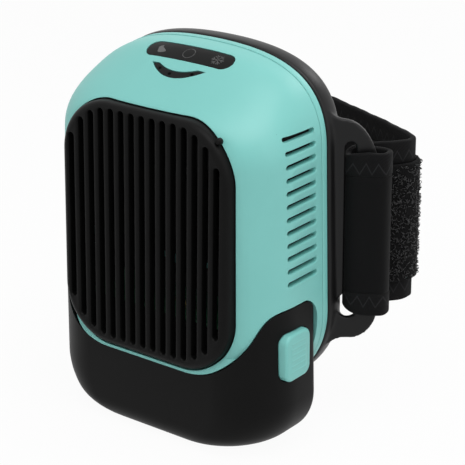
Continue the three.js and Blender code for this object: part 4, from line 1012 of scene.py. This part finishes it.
rim_start = shell_back + fit
rings = []
for share in np.linspace(0, 1, 22) ** rim_crowding:
    grow = -frame_swell * np.interp(share, *zip(*swell_shares))
    rings.append(at_y(body_outline(grow, grow, 0), rim_start + (frame_back - rim_start) * share))
rim = skin("wing_frame_rim", rings)
low_root = quadratic((-root_length, wing_low - root_flare), (-root_length / 4, wing_low),
                     (wing_start, wing_low), 10)
high_root = quadratic((wing_start, wing_high), (-root_length / 4, wing_high),
                      (-root_length, wing_high + root_flare), 10)
wing_outline = np.concatenate([
    low_root,
    quarter(wing_reach - low_corner[0], wing_low + low_corner[1], *low_corner, -math.pi / 2),
    quarter(wing_reach - high_corner[0], wing_high - high_corner[1], *high_corner, 0),
    high_root[1:],
])
slot_start = slot_inner + slot_squeeze
slot_hole = round_rect(slot_start, slot_outer, slot_bottom, slot_top,
                       (slot_outer - slot_start) / 2 * nearly_round, 10)
pocket_hole = oval(pocket_at, pocket_across, pocket_up, 48)
wings = []
for flip in (1, -1):
    blade = wing_plate("wing", wing_outline, wing_thick / 2)
    carved(blade, "DIFFERENCE", [wing_plate("wing_slot", slot_hole, wing_thick),
                                 wing_plate("wing_pocket", pocket_hole, wing_thick)])
    if flip < 0:
        blade.data.transform(Matrix.Scale(-1, 4, (1, 0, 0)))
        blade.data.flip_normals()
    wings.append(blade)
carved(rim, "UNION", wings)
hollow_line = body_outline(frame_wall, frame_wall, 0)
plate_low, plate_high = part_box("therapy_plate")
plate_hole = round_rect(plate_low.x - fit, plate_high.x + fit, plate_low.z - fit, plate_high.z + fit,
                        plate_corner, 12)
carved(rim, "DIFFERENCE", [
    skin("rim_hollow", [at_y(hollow_line, rim_start - overrun),
                        at_y(hollow_line, frame_back - frame_floor)]),
    skin("plate_hole", [at_y(plate_hole, rim_start), at_y(plate_hole, frame_back + overrun)]),
])
melt = rim.modifiers.new("melt", "REMESH")
melt.mode = "VOXEL"
melt.voxel_size = remesh_size
ease = rim.modifiers.new("ease", "SMOOTH")
ease.factor = ease_share
ease.iterations = ease_times
applied(rim)
rim.data.shade_smooth()
black_rubber = moulded(
    "black_rubber", deep=(0.0022, 0.0022, 0.0024, 1), pale=(0.0036, 0.0036, 0.0039, 1),
    worn=(0.012, 0.012, 0.012, 1), rough=0.40, grain=0.00022, bump=0.14, wear=0.3, gloss=0.26)
dressed(rim, "wing_frame", black_rubber)


# Strap
# One band of black knitted elastic, 60 mm wide, that loops through the wing slots and round the limb.
# Its long edges are bound: a sewn band of tighter knit runs along the top and the bottom.
strap_wide = 0.060
strap_thick = 0.0018
strap_low = 0.045
binding = 0.0085
binding_swell = 0.00016
selvedge = 0.0007
strap_lift = wing_thick / 2 + fit + strap_thick / 2
in_slot = slot_inner + fit + strap_thick / 2
bar_start = slot_outer
shoulder = wing_root + (0.0085, 0.0305)
far_middle = wing_root[1] + 0.0515
# The route is listed: the sewn end, round the wing's bar, through the slot and round the limb
right_route = [
    beside(bar_start + strap_lift, -strap_lift - strap_thick),
    beside(wing_reach - strap_thick, -strap_lift - strap_thick / 2),
    beside(wing_reach + 0.0026, -strap_thick / 2),
    beside(wing_reach + strap_thick / 2, strap_lift + strap_thick / 2),
    beside((bar_start + wing_reach) / 2, strap_lift + strap_thick / 2),
    beside(bar_start - strap_thick / 2, strap_lift),
    beside(in_slot, 0),
    beside(in_slot + strap_thick / 2, -strap_lift - strap_thick / 2),
    beside(bar_start + strap_lift + strap_thick, -strap_lift - 3.4 * strap_thick),
    wing_root + (0.0097, 0.0185),
    wing_root + (0.0131, 0.025),
    shoulder,
    np.array([shoulder[0] / 2, (shoulder[1] + far_middle) / 2 + strap_thick]),
]
route = np.array(right_route + [(0, far_middle)] + [p * (-1, 1) for p in right_route[::-1]])


def along_route(knots, count):
    """Evenly spaced points on a smooth line through the knots."""
    fine = []
    for i in range(len(knots) - 1):
        p0, p1 = knots[max(i - 1, 0)], knots[i]
        p2, p3 = knots[i + 1], knots[min(i + 2, len(knots) - 1)]
        for t in np.linspace(0, 1, 40, endpoint=False):
            v0, v1 = (p2 - p0) / 2, (p3 - p1) / 2
            cubic, square = 2 * p1 - 2 * p2 + v0 + v1, 3 * p2 - 3 * p1 - 2 * v0 - v1
            fine.append(cubic * t ** 3 + square * t ** 2 + v0 * t + p1)
    fine = np.array(fine + [knots[-1]])
    run = np.concatenate([[0], np.cumsum(np.linalg.norm(np.diff(fine, axis=0), axis=1))])
    even = np.linspace(0, run[-1], count)
    return np.stack([np.interp(even, run, fine[:, 0]), np.interp(even, run, fine[:, 1])], 1), run[-1]


def band_mesh(name, line, length, section, shift=None):
    """Sweeps a section of (offset, height) points along the line, with its own lengths as UV."""
    ahead = np.roll(line, -1, 0) - np.roll(line, 1, 0)
    ahead[0], ahead[-1] = line[1] - line[0], line[-1] - line[-2]
    ahead /= np.linalg.norm(ahead, axis=1)[:, None]
    side = np.stack([-ahead[:, 1], ahead[:, 0]], 1)
    steps = np.linspace(0, length, len(line))
    rings = [np.array([(*(p + n * d), z + (shift(place_on, z) if shift else 0)) for d, z in section])
             for p, n, place_on in zip(line, side, steps)]
    piece = skin(name, rings)
    count = len(section)
    layer = piece.data.uv_layers.new(name="UVMap")
    finder = [(steps[i // count], section[i % count][1]) for i in range(len(line) * count)]
    for loop in piece.data.loops:
        if loop.vertex_index < len(finder):
            layer.data[loop.index].uv = finder[loop.vertex_index]
    return piece


band_shares = (0.35, 0.7, 0.93)
seam_shares = (-0.15, 0.1, 0.5)
past_seam = 0.002
band_end_share = 0.96
seam_end_share = 1.03
seam_dip_share = 0.6
blunt_share = 0.12


def strap_section(thick, low, high, bound, swell, edge):
    """Half the thickness at each height: bound edges stand a little proud of the middle."""
    heights = [low + edge * (1 - math.cos(t)) for t in np.linspace(0, math.pi / 2, 5)]
    heights += [low + bound * share for share in band_shares]
    heights += [low + bound + edge * share for share in seam_shares]
    heights += list(np.linspace(low + bound + past_seam, high - bound - past_seam, 12))
    heights += [low + high - z for z in heights[:11][::-1]]
    side = []
    for z in heights:
        off = min(z - low, high - z)
        round_share = 1 if off > edge else math.sqrt(max(0.0, 1 - (1 - off / edge) ** 2))
        raised = swell if off < bound * band_end_share else 0
        if bound * band_end_share <= off < bound * seam_end_share:
            raised = -seam_dip_share * swell
        side.append((thick / 2 * max(round_share, blunt_share) + raised * round_share, z))
    return side + [(-d, z) for d, z in side[::-1]]


line_points = 520
gather_low = 0.0023
gather_high = 0.0013
gather_reach = 0.0036
gather_tall = 0.013
wave_tall = 0.00009
wave_rate, ripple_rate = 410, 957
ripple_share = 0.6
ripple_shift = 1.3
line, strap_length = along_route(route, line_points)


def step_nearest(spot):
    return strap_length * int(np.argmin(np.linalg.norm(line - spot, axis=1))) / (line_points - 1)


slot_steps = [step_nearest(beside(in_slot, 0) * (flip, 1)) for flip in (1, -1)]


def gathered(place_on, z):
    """The strap draws together where it passes a slot, and its edges wave a little elsewhere."""
    near = sum(math.exp(-((place_on - step) / gather_reach) ** 2) for step in slot_steps)
    low_share = max(0, 1 - (z - strap_low) / gather_tall) ** 2
    high_share = max(0, 1 - (strap_low + strap_wide - z) / gather_tall) ** 2
    wave = math.sin(place_on * wave_rate) + ripple_share * math.sin(place_on * ripple_rate + ripple_shift)
    pulled = near * (gather_low * low_share - gather_high * high_share)
    return pulled + wave_tall * wave * (high_share - low_share)


section = strap_section(strap_thick, strap_low, strap_low + strap_wide, binding, binding_swell, selvedge)
strap = band_mesh("strap_band", line, strap_length, section, gathered)
smoothed(strap, math.radians(60))


def sums(tree, operation, a, b=0.0):
    return place(tree, "ShaderNodeMath", operation=operation, i0=a, i1=b).outputs[0]


# Knitted cloth: fine ribs across the band, and a slow unevenness in their tone
tree, given, out = group_of("knit", [("Rib Pitch", 0.0009), ("Thread Pitch", 0.0005)],
                            ("Height", "Tone"))
flat = place(tree, "ShaderNodeTexCoord").outputs["UV"]
halves = place(tree, "ShaderNodeSeparateXYZ", Vector=flat)
waves = []
for axis, label in ((0, "Rib Pitch"), (1, "Thread Pitch")):
    turns = sums(tree, "DIVIDE", halves.outputs[axis], given[label])
    waves.append(sums(tree, "SINE", sums(tree, "MULTIPLY", turns, 2 * math.pi)))
noise = place(tree, "ShaderNodeTexNoise", Vector=flat, Scale=900.0, Detail=3.0)
slow = place(tree, "ShaderNodeTexNoise", Vector=flat, Scale=55.0, Detail=3.0)
woven = sums(tree, "ADD", sums(tree, "MULTIPLY", waves[0], waves[1]), noise.outputs["Fac"])
tree.links.new(woven, out["Height"])
tree.links.new(slow.outputs["Fac"], out["Tone"])
knit = tree

# Bound edges: one inside the sewn bands, a zigzag thread in them and a seam line at their edge
tree, given, out = group_of("bound_edge", [("Low", strap_low), ("High", strap_low + strap_wide),
                                           ("Width", binding), ("Zigzag Pitch", 0.0042)],
                            ("Band", "Thread", "Seam"))
halves = place(tree, "ShaderNodeSeparateXYZ", Vector=place(tree, "ShaderNodeTexCoord").outputs["UV"])
across = sums(tree, "MINIMUM", sums(tree, "SUBTRACT", halves.outputs[1], given["Low"]),
              sums(tree, "SUBTRACT", given["High"], halves.outputs[1]))
share = sums(tree, "DIVIDE", across, given["Width"])
tree.links.new(sums(tree, "LESS_THAN", share, 1.0), out["Band"])
turns = sums(tree, "DIVIDE", halves.outputs[0], given["Zigzag Pitch"])
swing = sums(tree, "PINGPONG", turns, 0.5)
thread_line = sums(tree, "ADD", sums(tree, "MULTIPLY", swing, 0.9), 0.42)
off = sums(tree, "ABSOLUTE", sums(tree, "SUBTRACT", share, thread_line))
tree.links.new(place(tree, "ShaderNodeMapRange", Value=off, From_Min=0.02, From_Max=0.07, To_Min=1.0,
                     To_Max=0.0).outputs[0], out["Thread"])
off = sums(tree, "ABSOLUTE", sums(tree, "SUBTRACT", share, 1.0))
tree.links.new(place(tree, "ShaderNodeMapRange", Value=off, From_Min=0.01, From_Max=0.05, To_Min=1.0,
                     To_Max=0.0).outputs[0], out["Seam"])
bound_edge = tree

yarn_deep = (0.0022, 0.0022, 0.0024, 1)
yarn_pale = (0.0036, 0.0036, 0.0039, 1)
binding_grey = (0.0042, 0.0042, 0.0045, 1)
thread_grey = (0.016, 0.016, 0.017, 1)
seam_black = (0.003, 0.003, 0.003, 1)
elastic = bpy.data.materials.new("knitted_elastic")
tree = nodes_of(elastic)
cloth = use(tree, knit)
edge = use(tree, bound_edge)
tone = mixed_colour(tree, cloth["Tone"], yarn_deep, yarn_pale)
tone = mixed_colour(tree, edge["Band"], tone, binding_grey)
tone = mixed_colour(tree, edge["Thread"], tone, thread_grey)
tone = mixed_colour(tree, edge["Seam"], tone, seam_black)
height = sums(tree, "MULTIPLY", cloth["Height"], ranged(tree, edge["Band"], 0.35, 1.0))
height = sums(tree, "SUBTRACT", sums(tree, "ADD", height, edge["Thread"]),
              sums(tree, "MULTIPLY", edge["Seam"], 3.0))
relief = place(tree, "ShaderNodeBump", Strength=0.5, Distance=0.00012, Height=height)
shader = place(tree, "ShaderNodeBsdfPrincipled", Base_Color=tone,
               Roughness=ranged(tree, cloth["Tone"], 0.72, 0.86), Sheen_Weight=0.02,
               Sheen_Roughness=0.5, Specular_IOR_Level=0.12, Normal=relief.outputs[0])
place(tree, "ShaderNodeOutputMaterial", Surface=shader.outputs[0])
dressed(strap, "strap", elastic)


# Loop patch
# A patch of black loop pile sewn on the outside of the strap, where the hook end grips.
# Some thousands of short fibre loops stand on a napped ground, seeded so that they never change.
patch_thick = 0.0016
patch_low, patch_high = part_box("loop_patch")
patch_from_share, patch_to_share = 0.185, 0.44
patch_binding = 0.003
patch_edge = 0.0006
loop_count = 3200
loop_size = 0.00072
loop_thread = 0.00012
loop_margin = 0.0008
loop_stray = 0.0003
tilt_most_share = 0.5
size_shares = (0.6, 1.25)
loop_flat_share = 0.7
loop_sunk_share = 0.15
arc_steps = 6
pile_seed = 7

first, last = round(patch_from_share * (line_points - 1)), round(patch_to_share * (line_points - 1))
patch_line = line[first:last + 1]
patch_length = strap_length * (patch_to_share - patch_from_share)
offset = -(strap_thick / 2 + fit + patch_thick / 2)
section = [(d + offset, z) for d, z in
           strap_section(patch_thick, patch_low.z, patch_high.z, patch_binding, 0, patch_edge)]
patch = band_mesh("loop_patch_ground", patch_line, patch_length, section)
smoothed(patch, math.radians(60))

chance = np.random.default_rng(pile_seed)
ahead = np.gradient(patch_line, axis=0)
ahead /= np.linalg.norm(ahead, axis=1)[:, None]
normal = np.stack([ahead[:, 1], -ahead[:, 0]], 1)
spot = chance.integers(2, len(patch_line) - 2, loop_count)
level = chance.uniform(patch_low.z + loop_margin, patch_high.z - loop_margin, loop_count)
root = np.column_stack([patch_line[spot] + normal[spot] * (strap_thick / 2 + fit + patch_thick), level])
root[:, :2] += ahead[spot] * chance.uniform(-loop_stray, loop_stray, (loop_count, 1))
out_way = np.column_stack([normal[spot], np.zeros(loop_count)])
along_way = np.column_stack([ahead[spot], np.zeros(loop_count)])
lean = chance.uniform(0, 2 * math.pi, loop_count)[:, None]
way = along_way * np.cos(lean) + np.array([0, 0, 1.0]) * np.sin(lean)
tilt = chance.uniform(-tilt_most_share, tilt_most_share, (loop_count, 1))
size = loop_size * chance.uniform(*size_shares, (loop_count, 1))
cross_way = np.cross(out_way, way)
points, faces = [], []
for t in np.linspace(0, math.pi, arc_steps):
    rise = math.sin(t) - loop_sunk_share
    centre = root + way * size * math.cos(t) * loop_flat_share + (out_way + cross_way * tilt) * size * rise
    for k in range(3):
        a = k * 2 * math.pi / 3
        radial = (way * math.cos(t) + out_way * math.sin(t)) * math.cos(a) + cross_way * math.sin(a)
        points.append(centre + radial * loop_thread)
points = np.stack(points, 1).reshape(-1, 3)
block = arc_steps * 3
for n in range(loop_count):
    start = n * block
    for j in range(arc_steps - 1):
        for k in range(3):
            a, b = start + j * 3 + k, start + j * 3 + (k + 1) % 3
            faces.append((a, b, b + 3, a + 3))
    faces.append((start, start + 2, start + 1))
    faces.append((start + block - 3, start + block - 2, start + block - 1))
mesh = bpy.data.meshes.new("loop_fibres")
mesh.from_pydata(points.tolist(), [], faces)
mesh.shade_smooth()
fibres = new_object("loop_fibres", mesh)

nap_deep = (0.0015, 0.0015, 0.0017, 1)
nap_pale = (0.0045, 0.0045, 0.0048, 1)
nap = bpy.data.materials.new("loop_nap")
tree = nodes_of(nap)
where = place(tree, "ShaderNodeTexCoord").outputs["Object"]
tufts = place(tree, "ShaderNodeTexVoronoi", Vector=where, Scale=1500.0)
slow = place(tree, "ShaderNodeTexNoise", Vector=where, Scale=260.0, Detail=3.0)
tone = mixed_colour(tree, slow.outputs["Fac"], nap_deep, nap_pale)
relief = place(tree, "ShaderNodeBump", Strength=0.8, Distance=0.0003, Height=tufts.outputs["Distance"])
shader = place(tree, "ShaderNodeBsdfPrincipled", Base_Color=tone,
               Roughness=ranged(tree, slow.outputs["Fac"], 0.7, 0.95), Sheen_Weight=0.02,
               Sheen_Roughness=0.4, Specular_IOR_Level=0.12, Normal=relief.outputs[0])
place(tree, "ShaderNodeOutputMaterial", Surface=shader.outputs[0])
dressed(patch, "loop_patch", nap)
# The pale tone of the loops is painted glint: bright specks of highlight on the black pile
painted_glint_threads = moulded(
    "loop_thread", deep=(0.002, 0.002, 0.0022, 1), pale=(0.095, 0.095, 0.098, 1),
    worn=(0.16, 0.16, 0.16, 1), rough=0.34, grain=0.0002, bump=0.1, wear=0.3, cloud=0.0009)
mesh.materials.append(painted_glint_threads)
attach(fibres, frame["nodes"]["loop_patch"]["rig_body"])


# Insulation pad
# Closed-cell foam that fills the frame between the shells and the therapy plate.
# It is cut to the frame's inner line, with a square hole for the thermal module.
pad_low, pad_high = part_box("insulation_pad")
pad_round = 0.0006
rings = []
for y, grow in ((pad_low.y, pad_round), (pad_low.y + pad_round, 0), (pad_high.y - pad_round, 0),
                (pad_high.y, pad_round)):
    line_in = frame_wall + fit + grow
    rings.append(at_y(body_outline(line_in, line_in, 0), y))
pad = skin("insulation_pad_foam", rings)
half = (module_high.x - module_low.x) / 2 + seam_gap
middle_z = (module_high.z + module_low.z) / 2
hole = round_rect(-half, half, middle_z - half, middle_z + half, fit)
carved(pad, "DIFFERENCE", [skin("pad_hole", [at_y(hole, 0), at_y(hole, frame_back + overrun)])])
smoothed(pad)
foam = moulded(
    "closed_cell_foam", deep=(0.085, 0.09, 0.095, 1), pale=(0.12, 0.125, 0.13, 1),
    worn=(0.16, 0.16, 0.16, 1), rough=0.92, grain=0.0006, bump=0.6, wear=0.3, cloud=0.01, gloss=0.2)
dressed(pad, "insulation_pad", foam)


# Metal pieces
# The heat sink is an extrusion coloured near-black as painted shade for the inside of the vents, and the
# therapy plate bare brushed aluminium.
# Shaft, spring, socket and outer screws are plated steel, the fan screws blackened, the contacts brass.
def metal(name, deep, pale, rough, stretch, rate, scratch=0.15):
    """Brushed or rolled metal: fine streaks along one way, and a cloudy sheen."""
    material = bpy.data.materials.new(name)
    tree = nodes_of(material)
    where = place(tree, "ShaderNodeTexCoord").outputs["Object"]
    drawn = place(tree, "ShaderNodeVectorMath", operation="MULTIPLY", i0=where, i1=stretch)
    streaks = place(tree, "ShaderNodeTexNoise", Vector=drawn.outputs[0], Scale=rate, Detail=4.0)
    surface = use(tree, moulded_grain, Grain_Size=0.0004, Cloud_Size=0.01)
    tone = mixed_colour(tree, streaks.outputs["Fac"], deep, pale)
    relief = place(tree, "ShaderNodeBump", Strength=scratch, Distance=0.00005,
                   Height=streaks.outputs["Fac"])
    shader = place(tree, "ShaderNodeBsdfPrincipled", Base_Color=tone, Metallic=1.0,
                   Roughness=ranged(tree, surface["Cloud"], rough - 0.08, rough + 0.08),
                   Normal=relief.outputs[0])
    place(tree, "ShaderNodeOutputMaterial", Surface=shader.outputs[0])
    return material


def finished(names, material, round_by, angle=math.radians(28)):
    """Carried-over pieces keep their shape and get broken edges and their finish."""
    for name in names:
        piece = frame["nodes"][name]
        piece.data.materials.clear()
        piece.data.materials.append(material)
        edge = piece.modifiers.new("broken_edge", "BEVEL")
        edge.width = round_by
        edge.segments = 2
        edge.limit_method = "ANGLE"
        edge.angle_limit = angle
        edge.use_clamp_overlap = True
        smoothed(piece, angle)


# The heat sink's near-black tone is painted shade, keeping the fins seen through the vents dark
painted_shade_metal = metal(
    "heat_sink_painted_shade", deep=(0.018, 0.018, 0.019, 1), pale=(0.030, 0.030, 0.031, 1),
    rough=0.5, stretch=(0.05, 1, 1), rate=900.0)
finished(["heat_sink"], painted_shade_metal, round_by=0.0001)
brushed = metal(
    "brushed_aluminium", deep=(0.50, 0.51, 0.52, 1), pale=(0.66, 0.67, 0.68, 1),
    rough=0.34, stretch=(0.03, 1, 1), rate=1600.0, scratch=0.3)
finished(["therapy_plate"], brushed, round_by=0.0006)
plated = metal(
    "plated_steel", deep=(0.42, 0.43, 0.44, 1), pale=(0.60, 0.61, 0.62, 1),
    rough=0.3, stretch=(1, 1, 1), rate=1200.0)
outer_screws = [f"rear_screw_{i}" for i in range(1, 5)] + ["cover_screw_1", "cover_screw_2"]
finished(outer_screws + ["fan_shaft"], plated, round_by=0.00012)
finished(["charge_socket", "button_spring"], plated, round_by=0.00005)
blackened = metal(
    "blackened_steel", deep=(0.010, 0.010, 0.011, 1), pale=(0.022, 0.022, 0.023, 1),
    rough=0.5, stretch=(1, 1, 1), rate=1200.0)
finished([f"fan_screw_{i}" for i in range(1, 5)], blackened, round_by=0.00012)
brass = metal(
    "contact_brass", deep=(0.55, 0.38, 0.14, 1), pale=(0.72, 0.54, 0.24, 1),
    rough=0.28, stretch=(1, 0.1, 1), rate=1500.0)
contacts = [f"contact_{kind}_{i}" for kind in ("pin", "pad") for i in range(1, 5)]
finished(contacts, brass, round_by=0.0001)


# Inner plastic pieces
# The fan, the bay frame, the battery cover and the cell cradle are the same black plastic.
# The cells wear a shrink sleeve, and the thermal module is unglazed ceramic.
plastic_pieces = ["bay_frame", "battery_cover", "cell_cradle", "fan_frame", "fan_rotor"]
finished(plastic_pieces, black_plastic, round_by=0.00018)
sleeve = moulded(
    "shrink_sleeve", deep=(0.040, 0.130, 0.330, 1), pale=(0.055, 0.165, 0.400, 1),
    worn=(0.3, 0.4, 0.6, 1), rough=0.32, grain=0.0005, bump=0.06, wear=0.2)
finished(["cell_lower", "cell_upper"], sleeve, round_by=0.0004)
alumina = moulded(
    "unglazed_ceramic", deep=(0.66, 0.65, 0.62, 1), pale=(0.76, 0.75, 0.72, 1),
    worn=(0.8, 0.8, 0.8, 1), rough=0.62, grain=0.0002, bump=0.15, wear=0.2)
finished(["thermal_module"], alumina, round_by=0.0002)


# Circuit boards
# Green solder mask over a pattern of fine tracks, on the control, main and battery boards.
# The tracks are a grid of thin lines, broken up so that they look routed.
mask_green = (0.012, 0.075, 0.036, 1)
track_green = (0.030, 0.150, 0.070, 1)
dull_green = (0.008, 0.05, 0.024, 1)
bare, half_covered, covered = (0, 0, 0, 1), (0.4, 0.4, 0.4, 1), (1, 1, 1, 1)
board = bpy.data.materials.new("solder_mask")
tree = nodes_of(board)
where = place(tree, "ShaderNodeTexCoord").outputs["Object"]
tracks = place(tree, "ShaderNodeTexBrick", Vector=where, Scale=260.0, Color1=bare, Color2=half_covered,
               Mortar=covered)
cloud = place(tree, "ShaderNodeTexNoise", Vector=where, Scale=180.0, Detail=3.0)
tone = mixed_colour(tree, tracks.outputs["Color"], mask_green, track_green)
tone = mixed_colour(tree, ranged(tree, cloud.outputs["Fac"], 0.0, 0.5), tone, dull_green)
relief = place(tree, "ShaderNodeBump", Strength=0.2, Distance=0.00005, Height=tracks.outputs["Fac"])
shader = place(tree, "ShaderNodeBsdfPrincipled", Base_Color=tone,
               Roughness=ranged(tree, cloud.outputs["Fac"], 0.3, 0.5), Normal=relief.outputs[0])
place(tree, "ShaderNodeOutputMaterial", Surface=shader.outputs[0])
finished(["control_board", "main_board", "protection_board"], board, round_by=0.0001)
